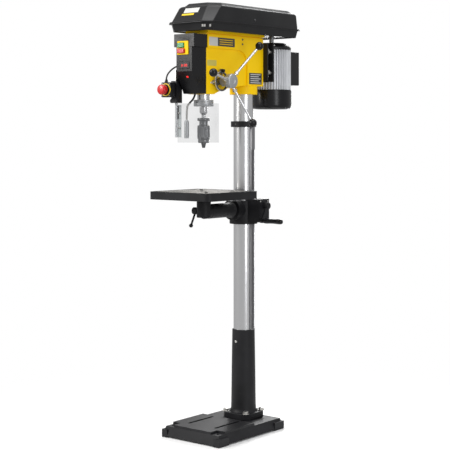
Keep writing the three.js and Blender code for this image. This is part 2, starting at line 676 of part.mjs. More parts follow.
// ---- feed pinion, levers and depth ring ----
function makeFeed() {
  const feed = new THREE.Group();
  feed.position.set(0, pinionY, pinionZ);
  press.add(feed);
  const shaftR0 = pinionR - 2.6;
  const shaftEnd = feedHubX + feedHubLong;
  const hub = turned([
    [0, 0], [feedNeckR, 0], [feedNeckR, 24], [feedHubR - 2, 27], [feedHubR, 30],
    [feedHubR, feedHubLong - 3], [feedHubR - 3, feedHubLong], [0, feedHubLong],
  ]);
  const hubX = solid(shell(hub).rotateY(Math.PI / 2).translate(feedHubX, 0, 0));
  const shaft = barX(shaftR0, [-headHalfX + 2, shaftEnd - 10], [0, 0], 20);
  const angles = [0, 1, 2].map((i) => ((firstLever + i * 120) * Math.PI) / 180);
  const at = (x, r, angle) => [x, r * Math.cos(angle), r * Math.sin(angle)];
  const pointOn = (share, angle) =>
    at(leverStartX + share * (leverEndX - leverStartX), leverStartR + share * (leverEndR - leverStartR), angle);
  const leverTip = 0.97; // share of the way to the knob's centre
  const sockets = angles.map((angle) => strut(leverR + gap, pointOn(-0.005, angle), pointOn(1, angle), 14));
  const hubBody = cut(join(hubX, shaft), ...sockets);
  place(feed, 'feed_hub', hubBody, aluminium());
  angles.forEach((angle, i) => {
    const lever = strut(leverR, pointOn(0, angle), pointOn(leverTip, angle), 14);
    place(feed, `feed_lever_${i + 1}`, lever, groundSteel());
    const socket = strut(leverR + gap, pointOn(0, angle), pointOn(leverTip + 0.01, angle), 14);
    const knob = cut(ball(knobR, at(leverEndX, leverEndR, angle)), socket);
    place(feed, `feed_knob_${i + 1}`, knob, blackPlastic());
  });
  const earR = feedHubR + 12.5;
  const ear = barX(8, [ringX, ringX + ringWide], [0, earR], 20);
  const span = [ringX, ringX + ringWide];
  const through = [ringX - 1, ringX + ringWide + 1];
  const rim = cut(barX(ringR, span, [0, 0], 20), barX(ringR - 5, through, [0, 0], 20));
  const spokeLong = ringR - 3;
  const spokes = [0, 1, 2].map((i) => {
    const arm = new THREE.BoxGeometry(ringWide, 5, spokeLong);
    arm.translate(ringX + ringWide / 2, 0, spokeLong / 2).rotateX((i * 2 * Math.PI) / 3);
    return solid(arm);
  });
  const ring = cut(
    join(rim, barX(shaftR0 + 6, span, [0, 0], 20), ...spokes, ear),
    holeX(shaftR0 + running, through, [0, 0], 20),
    holeX(3 + running, through, [0, earR], 12),
  );
  place(feed, 'depth_ring', ring, aluminium());
  const lockAt = [ringX + ringWide, 0, earR];
  const lock = join(barX(6.5, [gap, 10], [0, 0], 16), barX(3, [-ringWide, 2], [0, 0], 12));
  place(feed, 'depth_lock_knob', lock, blackPlastic(), lockAt);
}

// ---- chuck guard, emergency stop, lamp ----
function makeGuard() {
  const postTop = 1380;
  const block1 = block([-78, -50], [guardY - 20, guardY + 12], [guardTop + 2, postTop]);
  const bridge = block([-60, -headHalfX - gap], [guardY + 11.5, headFront + 34], [postTop - 30, postTop + 10]);
  const ear = block([-56, -headHalfX - gap], [headFront + 4, headFront + 34], [postTop - 30, 1432]);
  const postHole = holeZ(5 + running, [guardTop, 1350], [guardX, guardY], 20);
  const screwHole = holeX(3 + running, [-79, guardX], [guardY - 10, 1304], 14);
  const tab = block([-62, -58], [guardY - 15, headFront - 30], [postTop - 1, postTop + 42]);
  const bracket = cut(join(block1, bridge, ear, tab), postHole, screwHole);
  place(press, 'guard_bracket', bracket, blackIron());
  const screw = join(barX(9, [-86, -78 - gap], [0, 0], 20), barX(3, [-80, -76], [0, 0], 14));
  place(press, 'guard_thumb_screw', screw, darkSteel(), [0, guardY - 10, 1304]);

  const guard = new THREE.Group();
  guard.position.set(guardX, guardY, 0);
  press.add(guard);
  const post = barZ(5, [guardLow + 20, 1345], [0, 0], 16);
  const strip = block([5, 21], [guardThick + gap, guardThick + 6], [guardLow + 20, guardTop - 6]);
  const tie = block([-4, 12], [guardThick + gap, guardThick + 6], [guardTop - 60, guardTop - 8]);
  place(guard, 'guard_carrier', join(post, strip, tie), blackIron());
  const far = guardFar - guardX;
  const bend = 42;
  const pane = outline([
    [6, 0], [far - bend, 0], [far, bend], [far, bend + 48],
    [far - guardThick, bend + 48], [far - guardThick, bend + guardThick * 0.4],
    [far - bend - guardThick * 0.4, guardThick], [6, guardThick],
  ]);
  place(guard, 'guard_shield', raised(pane, [guardLow, guardTop]), finish(0xc8d0d4, 0.1));
}

function makeEmergencyStop() {
  const x = -79;
  const z = 1346;
  const front = headFront - 93;
  const boxBody = block([-103, -55], [front, front + 27.5], [1317.5, 1374.5]);
  const ring = barY(24, [front - 3, front + 1], [x, z], 36);
  const well = holeY(8 + running, [front - 4, front + 24.5], [x, z], 14);
  const stopBox = cut(join(boxBody, ring), well);
  place(press, 'estop_box', stopBox, blackPlastic());
  const travel = 6;
  const head = turned([[0, 0], [17.5, 0], [19.3, 2], [19.3, 15], [16.5, 20.5], [0, 22]], 20);
  const stem = barZ(8, [-20, 1], [0, 0], 20);
  const button = solid(shell(join(head, stem)).rotateX(Math.PI / 2));
  place(press, 'estop_button', button, finish(0xc4161c, 0.35), [x, front - 3 - travel - running, z]);

  const route = [
    [-88, -79, 1375], [-88, -79, 1390], [-85, -73, 1408], [-76, -55, 1428], [-65, -31, 1441],
    [-56, -11, 1446], [-50.5, 2.5, 1447], [-headHalfX - 1.2, 4, 1447],
  ].map(([cableX, y, cableZ]) => [cableX, headFront + y, cableZ]);
  place(press, 'estop_cable', tube(route, 3, 26, 8), rubber());
}

function makeLamp() {
  const route = [
    [2, -16, bellyLow - gap - 1], [0, -16, 1322], [-8, -18, 1308], [-20, -21, 1296],
    [-31, -21, 1284], [-36, -19, 1268], [-38, -18, 1250], [-38, -18, 1232],
  ].map(([x, y, z]) => [x, headFront + y, z]);
  place(press, 'lamp_neck', tube(route, 4, 24, 10), rubber());
  const lampHead = turned([[0, 1160], [9, 1160], [9, 1222], [6, 1231], [0, 1231]], 24);
  place(press, 'lamp_head', lampHead, blackPlastic(), [-38, headFront - 18, 0]);
}

// ---- belt cover and drive ----
function panPoints(grow) {
  const [x, front, back] = [panHalfX + grow, panFront - grow, panBack + grow];
  return [
    [-x + panCorner, front], [x - panCorner, front], [x, front + panCorner], [x, back],
    [-x, back], [-x, front + panCorner],
  ];
}

// The lid's upper edge: its front and its front corners lean back.
function lidPoints(grow) {
  const [x, front, back] = [panHalfX + grow, panFront + lidLean - grow, panBack - lidBackLean + grow];
  const [cornerX, cornerY] = [34, 42];
  return [
    [-x + cornerX, front], [x - cornerX, front], [x, front + cornerY], [x, back],
    [-x, back], [-x, front + cornerY],
  ];
}

const motorShaftSlot = 14;

function makeBeltCover() {
  const floorLow = headTop + gap;
  const floorTop = floorLow + sheet;
  const motorWay = block(
    [-shaftR - 6, shaftR + 6],
    [motorY - shaftR - 6 - motorShaftSlot, motorY + shaftR + 6],
    [panLow - 1, floorTop + 1],
  );
  const pan = cut(
    join(
      lofted(panPoints(-panDraft), panLow, panPoints(0), panRim),
      raised(outline(panPoints(lipOut)), [panRim - lipHigh, panRim]),
    ),
    lofted(panPoints(-sheet - panDraft), floorTop, panPoints(-sheet), panRim + 1),
    raised(outline(panPoints(-sheet - panDraft)), [panLow - 1, floorLow]),
    barZ(17, [panLow, floorTop + 1], [0, throatY]),
    motorWay,
  );
  const post = join(
    barZ(8, [floorTop - 1, pulleyZ + 4 * beltStep + 2], [0, idlerY], 20),
    barZ(15, [floorTop - 1, pulleyZ - 2 - gap], [0, idlerY], 20),
  );
  place(press, 'belt_pan', join(pan, post), blackSheet());

  const low = panRim + gap;
  const top = low + lidHigh;
  const panelTop = top + lidPanelHigh;
  const outer = join(
    lofted(panPoints(rimLip), low, lidPoints(0), top),
    raised(outline(panPoints(lipOut)), [low, low + lipHigh]),
  );
  const inner = lofted(panPoints(rimLip - sheet), low - 0.5, lidPoints(-sheet), top - sheet);
  const panel = lofted(lidPoints(-12), top - 0.5, lidPoints(-24), panelTop);
  const panelIn = lofted(lidPoints(-14), top - sheet - 1, lidPoints(-26), panelTop - sheet);
  place(press, 'belt_cover_lid', cut(join(outer, panel), inner, panelIn), blackSheet());
}

function steppedPulley(steps, boreR) {
  const profile = [[0, -2]];
  steps.forEach((r, i) => {
    const low = i * beltStep;
    const lip = (beltStep - grooveHigh) / 2;
    profile.push(
      [r + 2, low - (i ? 0 : 2)], [r + 2, low + lip], [r - grooveDeep, low + lip + 0.01],
      [r - grooveDeep, low + beltStep - lip - 0.01], [r + 2, low + beltStep - lip],
      [r + 2, low + beltStep],
    );
  });
  profile.push([0, steps.length * beltStep]);
  return cut(turned(profile, 16), holeZ(boreR, [-3, steps.length * beltStep + 1], [0, 0], 12));
}

// A belt round two pulleys on the line X = 0, the first at the lower Y.
function belt(y0, r0, y1, r1, grow) {
  const reach = y1 - y0;
  const lean = Math.asin((r1 - r0) / reach);
  const shape = new THREE.Shape();
  shape.absarc(0, y0, r0 + grow, Math.PI + lean, 2 * Math.PI - lean);
  shape.absarc(0, y1, r1 + grow, -lean, Math.PI + lean);
  return shape;
}

function makeDrive() {
  const bore = spindleR + running;
  const spindlePulley = steppedPulley(spindleSteps, bore);
  const hub = cut(barZ(15, [-60, -1], [0, 0], 20), barZ(bore, [-61, 0], [0, 0], 20));
  place(press, 'spindle_pulley', join(spindlePulley, hub), aluminium(), [0, throatY, pulleyZ]);
  place(press, 'idler_pulley', steppedPulley(idlerSteps, bore), aluminium(), [0, idlerY, pulleyZ]);
  const motorShaft = barZ(shaftR, [bellTop - pulleyZ - 40, 4 * beltStep - 1], [0, 0], 20);
  place(press, 'motor_pulley', join(steppedPulley(motorSteps, 4), motorShaft), aluminium(), [0, motorY, pulleyZ]);

  const beltHigh = grooveHigh - 1.2;
  const runs = [
    ['front_belt', throatY, spindleSteps, idlerY, idlerSteps, frontBeltStep],
    ['rear_belt', idlerY, idlerSteps, motorY, motorSteps, rearBeltStep],
  ];
  for (const [name, y0, steps0, y1, steps1, step] of runs) {
    const low = pulleyZ + step * beltStep + (beltStep - beltHigh) / 2;
    const [r0, r1] = [steps0[step] - grooveDeep + beltSeat, steps1[step] - grooveDeep + beltSeat];
    const loop = cut(
      raised(belt(y0, r0, y1, r1, beltThick), [low, low + beltHigh], 9),
      raised(belt(y0, r0, y1, r1, 0), [low - 1, low + beltHigh + 1], 9),
    );
    place(press, name, loop, rubber());
  }
}

// ---- motor on its slide bars ----
function makeMotor() {
  const plateBack = headBack + 4 + 4;
  const barEnd = motorPlateY + motorPlateThick + 12;
  const slidePlate = block([-motorPlateHalfX + 3, motorPlateHalfX - 3], [headBack + gap, plateBack], [1392, 1540]);
  const bars = [];
  for (const x of [-slideBarX, slideBarX]) {
    for (const z of slideBarZ) bars.push(barY(slideBarR, [plateBack - 2, barEnd], [x, z], 14));
  }
  place(press, 'motor_slide', join(slidePlate, ...bars), blackIron());

  const barHoles = [];
  for (const x of [-slideBarX, slideBarX]) {
    for (const z of slideBarZ) barHoles.push(holeY(slideBarR + running, [motorPlateY - 1, 200], [x, z], 14));
  }
  const plateSpan = [motorPlateY, motorPlateY + motorPlateThick];
  const plate = block([-motorPlateHalfX, motorPlateHalfX], plateSpan, [motorPlateLow, motorPlateTop]);
  place(press, 'motor_plate', cut(plate, ...barHoles), blackIron());

  const fins = new THREE.Shape();
  const finCount = 16;
  for (let i = 0; i < finCount; i += 1) {
    for (const [part, r] of [[0, motorFinR - 7], [0.5, motorFinR - 7], [0.55, motorFinR], [0.95, motorFinR]]) {
      const angle = ((i + part) / finCount) * 2 * Math.PI;
      if (i === 0 && part === 0) fins.moveTo(r, 0);
      else fins.lineTo(r * Math.cos(angle), r * Math.sin(angle));
    }
  }
  const feetY = motorPlateY + motorPlateThick + gap - motorY;
  const feet = join(
    block([-50, 50], [feetY, feetY + 22], [1404, 1428]),
    block([-50, 50], [feetY, feetY + 22], [1486, 1510]),
  );
  const bell = turned([
    [0, motorTop - 1], [motorFinR, motorTop - 1], [motorFinR, motorTop + 10], [62, bellTop - 4],
    [58, bellTop], [0, bellTop],
  ], 24);
  const boxY = motorFinR - 3;
  const boxSeat = block([-60, 60], [boxY - gap, motorFinR + 30], [1350, bellTop + 1]);
  const body = cut(
    join(raised(fins, [motorLow, motorTop]), bell, feet),
    holeZ(shaftR + running, [bellTop - 42, bellTop + 1], [0, 0], 20),
    boxSeat,
    ...barHoles.map((hole) => hole.translate([0, -motorY, 0])),
  );
  const motor = new THREE.Group();
  motor.position.set(0, motorY, 0);
  press.add(motor);
  place(motor, 'motor_body', body, aluminium());
  const fanTop = motorLow - gap;
  const fan = cut(
    turned([
      [0, fanLow], [motorR - 13, fanLow], [motorR - 4, fanLow + 3], [motorR, fanLow + 12], [motorR, fanTop], [0, fanTop],
    ], 24),
    turned([[0, fanLow + 3], [motorR - 15, fanLow + 3], [motorR - 3, fanLow + 14], [motorR - 3, fanTop + 1], [0, fanTop + 1]], 40),
  );
  place(motor, 'motor_fan_cover', fan, blackPlastic());
  const boxBody = block([-45, 45], [boxY, boxY + 58], [1379, 1518]);
  const gland = barZ(10, [1362, 1380], [0, boxY + 29], 20);
  const terminal = cut(join(boxBody, gland), holeZ(motorFinR + gap, [1370, 1520], [0, 0], 20));
  place(motor, 'terminal_box', terminal, blackPlastic());
}

makeHead();
makeQuill();
makeFeed();
makeGuard();
makeEmergencyStop();
makeLamp();
makeBeltCover();
makeDrive();
makeMotor();

export default press;
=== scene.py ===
import math
from itertools import product
import bpy
import bmesh
import numpy as np
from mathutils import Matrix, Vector


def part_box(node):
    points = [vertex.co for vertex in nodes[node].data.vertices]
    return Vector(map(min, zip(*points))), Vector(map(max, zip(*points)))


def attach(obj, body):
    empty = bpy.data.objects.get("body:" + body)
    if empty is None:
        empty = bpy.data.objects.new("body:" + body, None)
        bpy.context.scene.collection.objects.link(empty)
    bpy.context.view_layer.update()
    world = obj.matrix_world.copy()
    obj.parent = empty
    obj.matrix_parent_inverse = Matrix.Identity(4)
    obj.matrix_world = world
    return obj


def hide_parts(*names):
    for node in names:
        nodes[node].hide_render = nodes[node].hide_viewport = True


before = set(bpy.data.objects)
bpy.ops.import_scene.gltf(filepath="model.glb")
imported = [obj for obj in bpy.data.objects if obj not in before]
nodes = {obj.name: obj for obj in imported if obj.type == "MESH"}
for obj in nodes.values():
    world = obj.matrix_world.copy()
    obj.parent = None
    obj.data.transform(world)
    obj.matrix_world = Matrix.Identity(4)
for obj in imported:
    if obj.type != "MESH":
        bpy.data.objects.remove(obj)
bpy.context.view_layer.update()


# ---- shader maths: a Field is a number or colour that varies over the surface ----
class Field:
    def __init__(self, finish, socket):
        self.finish, self.socket = finish, socket

    def maths(self, operation, first, second):
        return self.finish.node("Math", {"operation": operation}, {0: first, 1: second})

    def __add__(self, other):
        return self.maths("ADD", self, other)

    def __sub__(self, other):
        return self.maths("SUBTRACT", self, other)

    def __rsub__(self, other):
        return self.maths("SUBTRACT", other, self)

    def __mul__(self, other):
        return self.maths("MULTIPLY", self, other)

    def __gt__(self, other):
        return self.maths("GREATER_THAN", self, other)

    def __lt__(self, other):
        return self.maths("LESS_THAN", self, other)

    __radd__ = __add__
    __rmul__ = __mul__


class Finish:
    def __init__(self, name):
        self.material = bpy.data.materials.new(name)
        self.material.use_nodes = True
        self.tree = self.material.node_tree
        self.shader = self.tree.nodes["Principled BSDF"]

    # any node: its settings first, then values or links for its sockets
    def node(self, kind, settings=None, inputs=None, output=0):
        made = self.tree.nodes.new("ShaderNode" + kind)
        for key, value in (settings or {}).items():
            if key == "stops":
                for stop, (place, shade) in zip(made.color_ramp.elements, value):
                    stop.position, stop.color = place, (shade, shade, shade, 1)
            else:
                setattr(made, key, value)
        for key, value in (inputs or {}).items():
            self.feed(made.inputs[key], value)
        return Field(self, made.outputs[output])

    def feed(self, socket, value):
        if isinstance(value, Field):
            self.tree.links.new(value.socket, socket)
        else:
            socket.default_value = value

    def set(self, **values):
        for key, value in values.items():
            self.feed(self.shader.inputs[key.replace("_", " ")], value)

    def coords(self, stretch=(1, 1, 1)):
        place = self.node("TexCoord", output=3)
        return self.node("Mapping", None, {"Vector": place, "Scale": stretch})

    def noise(self, where, scale, detail=3.0, rough=0.5):
        inputs = {"Vector": where, "Scale": scale, "Detail": detail, "Roughness": rough}
        return self.node("TexNoise", None, inputs)

    def ramp(self, value, low, high):
        return self.node("ValToRGB", {"stops": [(low, 0), (high, 1)]}, {"Fac": value})

    def mixColour(self, share, first, second):
        made = self.tree.nodes.new("ShaderNodeMix")
        made.data_type = "RGBA"
        for socket, value in zip((made.inputs[0], made.inputs[6], made.inputs[7]), (share, first, second)):
            self.feed(socket, value if isinstance(value, (Field, float)) else (*value, 1))
        return Field(self, made.outputs[2])

    def bump(self, height, strength, distance):
        inputs = {"Height": height, "Strength": strength, "Distance": distance}
        return self.node("Bump", None, inputs)


# One recipe for every plain finish: two shades mixed by broad noise, fine grain in roughness and bump,
# and a few rubbed or dusty patches.
def plainFinish(name, look):
    finish = Finish(name)
    where = finish.coords(look.get("stretch", (1, 1, 1)))
    broad = finish.ramp(finish.noise(where, look.get("broad", 9), 4), 0.35, 0.7)
    grain = finish.noise(where, look["grain"], 3, 0.6)
    rubbed = finish.ramp(finish.noise(finish.coords(), look.get("rub", 23), 6, 0.7), 0.6, 0.78)
    colour = finish.mixColour(broad, look["shade"], look["tint"])
    colour = finish.mixColour(rubbed * look.get("wear", 0.15), colour, look.get("worn", look["tint"]))
    rough = look["rough"] + grain * look.get("roughSpread", 0.12) + rubbed * look.get("rubRough", 0.06)
    finish.set(Base_Color=colour, Roughness=rough, Metallic=look.get("metal", 0.0))
    finish.set(Specular_IOR_Level=look.get("shine", 0.5))
    if look.get("coat"):
        finish.set(Coat_Weight=look["coat"], Coat_Roughness=0.12)
    finish.set(Normal=finish.bump(grain, look["bump"], look.get("depth", 0.0004)))
    return finish.material


looks = {
    "blackIron": dict(shade=(0.008, 0.008, 0.009), tint=(0.015, 0.015, 0.017), rough=0.42, shine=0.22,
                      grain=260,
                      bump=0.35, depth=0.0008, worn=(0.05, 0.048, 0.045), wear=0.25),
    "blackSheet": dict(shade=(0.007, 0.007, 0.008), tint=(0.012, 0.012, 0.013), rough=0.30, shine=0.28,
                       grain=520,
                       bump=0.12, worn=(0.05, 0.05, 0.05), wear=0.12),
    "yellowPaint": dict(shade=(1.0, 0.64, 0.003), tint=(0.97, 0.60, 0.002), rough=0.36, shine=0.14, grain=150,
                        bump=0.10, worn=(0.72, 0.45, 0.03), wear=0.15, depth=0.0006),
    "columnSteel": dict(shade=(0.74, 0.74, 0.75), tint=(0.68, 0.68, 0.69), rough=0.25, grain=90, metal=1.0,
                        stretch=(1, 1, 0.1), bump=0.002, worn=(0.55, 0.54, 0.52), wear=0.10,
                        roughSpread=0.01, rubRough=0.02),
    "rackSteel": dict(shade=(0.34, 0.34, 0.35), tint=(0.25, 0.25, 0.26), rough=0.32, grain=260, metal=1.0,
                      bump=0.06, worn=(0.14, 0.13, 0.12), wear=0.4),
    "groundIron": dict(shade=(0.26, 0.245, 0.225), tint=(0.19, 0.18, 0.165), rough=0.40, grain=60, metal=1.0,
                       stretch=(14, 1, 1), bump=0.05, worn=(0.33, 0.29, 0.25), wear=0.4),
    "darkSteel": dict(shade=(0.20, 0.20, 0.205), tint=(0.12, 0.12, 0.125), rough=0.24, grain=300, metal=1.0,
                      bump=0.08, worn=(0.35, 0.34, 0.33), wear=0.3),
    "zincSteel": dict(shade=(0.62, 0.61, 0.58), tint=(0.48, 0.47, 0.45), rough=0.3, grain=220, metal=1.0,
                      bump=0.06),
    "castAluminium": dict(shade=(0.50, 0.51, 0.52), tint=(0.40, 0.41, 0.42), rough=0.38, grain=340,
                          metal=0.85, bump=0.25, depth=0.0005, worn=(0.62, 0.62, 0.62)),
    "motorSilver": dict(shade=(0.72, 0.73, 0.75), tint=(0.62, 0.63, 0.65), rough=0.42, grain=320,
                        metal=0.35, bump=0.2, depth=0.0005),
    "ringMetal": dict(shade=(0.16, 0.165, 0.17), tint=(0.11, 0.11, 0.115), rough=0.3, grain=300, metal=0.8,
                      bump=0.08, worn=(0.4, 0.4, 0.4), wear=0.2),
    "fadedLabel": dict(shade=(0.62, 0.52, 0.08), tint=(0.55, 0.47, 0.10), rough=0.4, grain=300, bump=0.03),
    "sheetEdge": dict(shade=(0.62, 0.66, 0.66), tint=(0.5, 0.55, 0.55), rough=0.2, grain=300, bump=0.02),
    "blackPlastic": dict(shade=(0.009, 0.009, 0.010), tint=(0.014, 0.014, 0.015), rough=0.38, shine=0.3,
                         grain=640,
                         bump=0.16, worn=(0.05, 0.05, 0.05), wear=0.12),
    "glossBlack": dict(shade=(0.005, 0.005, 0.006), tint=(0.008, 0.008, 0.009), rough=0.24, shine=0.3,
                       grain=300,
                       bump=0.02, roughSpread=0.05, wear=0.05),
    "rubber": dict(shade=(0.012, 0.012, 0.012), tint=(0.02, 0.02, 0.02), rough=0.62, grain=700, bump=0.2),
    "redPlastic": dict(shade=(0.62, 0.012, 0.014), tint=(0.5, 0.01, 0.012), rough=0.25, grain=420,
                       bump=0.05, coat=0.3, worn=(0.5, 0.05, 0.05)),
    "greenPlastic": dict(shade=(0.02, 0.30, 0.09), tint=(0.015, 0.24, 0.07), rough=0.28, grain=420,
                         bump=0.05, coat=0.3),
    "signYellow": dict(shade=(0.85, 0.60, 0.02), tint=(0.78, 0.52, 0.02), rough=0.4, grain=420, bump=0.05),
    "paleLabel": dict(shade=(0.62, 0.62, 0.60), tint=(0.54, 0.54, 0.52), rough=0.4, grain=300, bump=0.03),
    "darkLabel": dict(shade=(0.035, 0.036, 0.04), tint=(0.05, 0.05, 0.055), rough=0.35, grain=300, bump=0.03),
}
finishes = {name: plainFinish(name, look) for name, look in looks.items()}


def clearSheetFinish():
    finish = Finish("clearSheet")
    haze = finish.ramp(finish.noise(finish.coords(), 14, 5, 0.6), 0.4, 0.8)
    finish.set(Base_Color=(0.30, 0.31, 0.32, 1), Roughness=0.05 + haze * 0.12, Alpha=0.15 + haze * 0.05)
    finish.set(Coat_Weight=0.3, Coat_Roughness=0.05, IOR=1.4)
    return finish.material


def glowFinish(name, colour, strength):
    finish = Finish(name)
    spots = finish.ramp(finish.noise(finish.coords(), 900, 1), 0.3, 0.7)
    shade = finish.mixColour(spots, colour, tuple(0.8 * part for part in colour))
    finish.set(Base_Color=shade, Roughness=0.3, Emission_Color=shade, Emission_Strength=strength)
    return finish.material


finishes["clearSheet"] = clearSheetFinish()
finishes["redGlow"] = glowFinish("redGlow", (0.9, 0.02, 0.015), 0.9)
finishes["lampGlow"] = glowFinish("lampGlow", (1.0, 0.95, 0.85), 3.0)
print("finishes made")


# ---- shapes ----
def finishMesh(name, points, faces, finish, sharp=32):
    mesh = bpy.data.meshes.new(name)
    mesh.from_pydata(np.asarray(points).tolist(), [], [list(face) for face in faces])
    mesh.validate()
    mesh.shade_smooth()
    mesh.set_sharp_from_angle(angle=math.radians(sharp))
    mesh.materials.append(finishes[finish])
    return placed(name, mesh)


def placed(name, data):
    piece = bpy.data.objects.new(name, data)
    bpy.context.collection.objects.link(piece)
    return piece


def softened(piece, width, segments=3, limit=28):
    bevel = piece.modifiers.new("edges", "BEVEL")
    bevel.width, bevel.segments = width, segments
    bevel.limit_method, bevel.angle_limit = "ANGLE", math.radians(limit)
    bevel.harden_normals = True
    bevel.use_clamp_overlap = True
    return piece


# A circle of unit directions round an axis, and the axis itself.
def rimRound(axis, steps):
    along = Vector(axis).normalized()
    across = along.orthogonal().normalized()
    up = np.array(along.cross(across))
    turn = fullTurn(steps)
    return np.cos(turn)[:, None] * np.array(across) + np.sin(turn)[:, None] * up, np.array(along)


def fullTurn(steps):
    return np.linspace(0, 2 * np.pi, steps, endpoint=False)


# Quads between rings of points that all have the same count; a loop joins the last ring to the first.
def ringQuads(rings, count, loop=False):
    i, j = np.meshgrid(np.arange(rings if loop else rings - 1), np.arange(count), indexing="ij")
    k, n = (j + 1) % count, (i + 1) % rings
    quads = np.stack([i * count + j, i * count + k, n * count + k, n * count + j], -1)
    return quads.reshape(-1, 4).tolist()


# Each corner of a profile gives way to two points, a small distance either side of it.
def eased(profile, ease):
    points = [np.array(point, float) for point in profile]
    out = [points[0]]
    for before, here, after in zip(points, points[1:], points[2:]):
        for other in (before, after):
            reach = other - here
            size = np.linalg.norm(reach)
            out.append(here + reach / size * min(ease, size * 0.4))
    return np.array(out + [points[-1]])


# A turned piece: centre + radius(v) * (cos u, sin u) + height(v) * axis. An end that stops short of the
# axis is closed flat.
def turned(name, profile, centre, axis, finish, steps=72, ease=0.0006, sharp=32):
    profile = list(profile)
    if profile[0][0] > 0:
        profile.insert(0, (0, profile[0][1]))
    if profile[-1][0] > 0:
        profile.append((0, profile[-1][1]))
    profile = eased(profile, ease) if ease else np.array(profile, float)
    rim, along = rimRound(axis, steps)
    centre = np.array(centre, float)
    middle = profile[1:-1]
    rows = centre + middle[:, None, :1] * rim[None] + middle[:, None, 1:] * along
    ends = centre + profile[[0, -1], 1][:, None] * along
    points = np.concatenate([rows.reshape(-1, 3), ends])
    faces = ringQuads(len(middle), steps)
    first, last = len(points) - 2, len(points) - 1
    ring = np.arange(steps)
    after = (ring + 1) % steps
    base = (len(middle) - 1) * steps
    faces += np.stack([np.full(steps, first), after, ring], -1).tolist()
    faces += np.stack([np.full(steps, last), base + ring, base + after], -1).tolist()
    return outward(finishMesh(name, points, faces, finish, sharp))


# A turned ring: a closed profile that stays clear of the axis; ridges move its points out by share.
def band(name, profile, centre, axis, finish, steps=72, ridge=0.0, sharp=30):
    rows = np.array([(*point, 0)[:3] for point in profile], float)
    rim, along = rimRound(axis, steps)
    waves = np.abs((np.arange(steps) % 4) - 2) / 2
    radius = rows[:, :1] + rows[:, 2:] * ridge * waves
    points = np.array(centre, float) + radius[..., None] * rim + rows[:, None, 1:2] * along
    faces = ringQuads(len(rows), steps, True)
    return outward(finishMesh(name, points.reshape(-1, 3), faces, finish, sharp))


def outward(piece):
    shape = bmesh.new()
    shape.from_mesh(piece.data)
    bmesh.ops.remove_doubles(shape, verts=shape.verts, dist=1e-7)
    bmesh.ops.recalc_face_normals(shape, faces=shape.faces)
    shape.to_mesh(piece.data)
    shape.free()
    return piece


# A closed body through rings of points that all have the same count.
def ringed(name, rings, finish, sharp=32):
    count, last = len(rings[0]), (len(rings) - 1) * len(rings[0])
    faces = ringQuads(len(rings), count)
    faces += [list(range(count))[::-1], list(range(last, last + count))]
    return outward(finishMesh(name, np.concatenate(rings), faces, finish, sharp))


# A tube: a circle carried along a path, kept from twisting by turning its frame with the path.
def tube(name, path, radius, finish, sides=20):
    path = np.array(path, float)
    tangent = np.gradient(path, axis=0)
    tangent /= np.linalg.norm(tangent, axis=1)[:, None]
    side = np.cross(tangent[0], (0.3, 0.5, 0.81))
    sideRows = []
    for row in tangent:
        side = side - row * side.dot(row)
        side = side / np.linalg.norm(side)
        sideRows.append(side)
    sideRows = np.array(sideRows)
    other = np.cross(tangent, sideRows)
    turn = fullTurn(sides)
    rim = np.cos(turn)[None, :, None] * sideRows[:, None] + np.sin(turn)[None, :, None] * other[:, None]
    radius = np.broadcast_to(np.asarray(radius, float), len(path))
    return ringed(name, path[:, None] + radius[:, None, None] * rim, finish, 50)


# Points on a smooth curve through the given ones.
def smoothPath(points, steps=12):
    points = np.array(points, float)
    padded = np.concatenate([[2 * points[0] - points[1]], points, [2 * points[-1] - points[-2]]])
    share = np.linspace(0, 1, steps, endpoint=False)[:, None]
    rows = []
    for a, b, c, d in zip(padded, padded[1:], padded[2:], padded[3:]):
        rows.append(0.5 * (2 * b + (c - a) * share + (2 * a - 5 * b + 4 * c - d) * share**2
                           + (3 * b - a - 3 * c + d) * share**3))
    return np.concatenate(rows + [points[-1:]])


# A prism: a closed outline in the plane across an axis, as long as its span along that axis.
def prism(name, outline, span, axis, finish, soft=0.001, segments=3):
    outline = np.array(outline, float)
    count = len(outline)
    order = {"X": (1, 2, 0), "Y": (0, 2, 1), "Z": (0, 1, 2)}[axis]
    points = np.zeros((2 * count, 3))
    for layer, height in enumerate(span):
        rows = slice(layer * count, (layer + 1) * count)
        points[rows, order[0]], points[rows, order[1]] = outline.T
        points[rows, order[2]] = height
    ring = np.arange(count)
    after = (ring + 1) % count
    faces = np.stack([ring, after, after + count, ring + count], -1).tolist()
    faces += [ring[::-1].tolist(), (ring + count).tolist()]
    piece = outward(finishMesh(name, points, faces, finish))
    return softened(piece, soft, segments) if soft else piece


def slab(name, low, high, finish, soft=0.001, segments=3):
    outline = [(low[0], low[1]), (high[0], low[1]), (high[0], high[1]), (low[0], high[1])]
    return prism(name, outline, (low[2], high[2]), "Z", finish, soft, segments)


# The CAD shape with its flat faces made whole again and every edge rounded.
def castCopy(name, node, finish, soft=0.0012, segments=3, flat=1.0, limit=28):
    mesh = nodes[node].data.copy()
    mesh.materials.clear()
    shape = bmesh.new()
    shape.from_mesh(mesh)
    bmesh.ops.remove_doubles(shape, verts=shape.verts, dist=2e-6)
    bmesh.ops.dissolve_limit(
        shape, angle_limit=math.radians(flat), verts=shape.verts, edges=shape.edges)
    shape.to_mesh(mesh)
    shape.free()
    mesh.name = name
    mesh.shade_smooth()
    mesh.set_sharp_from_angle(angle=math.radians(limit))
    mesh.materials.append(finishes[finish])
    return softened(placed(name, mesh), soft, segments, limit)


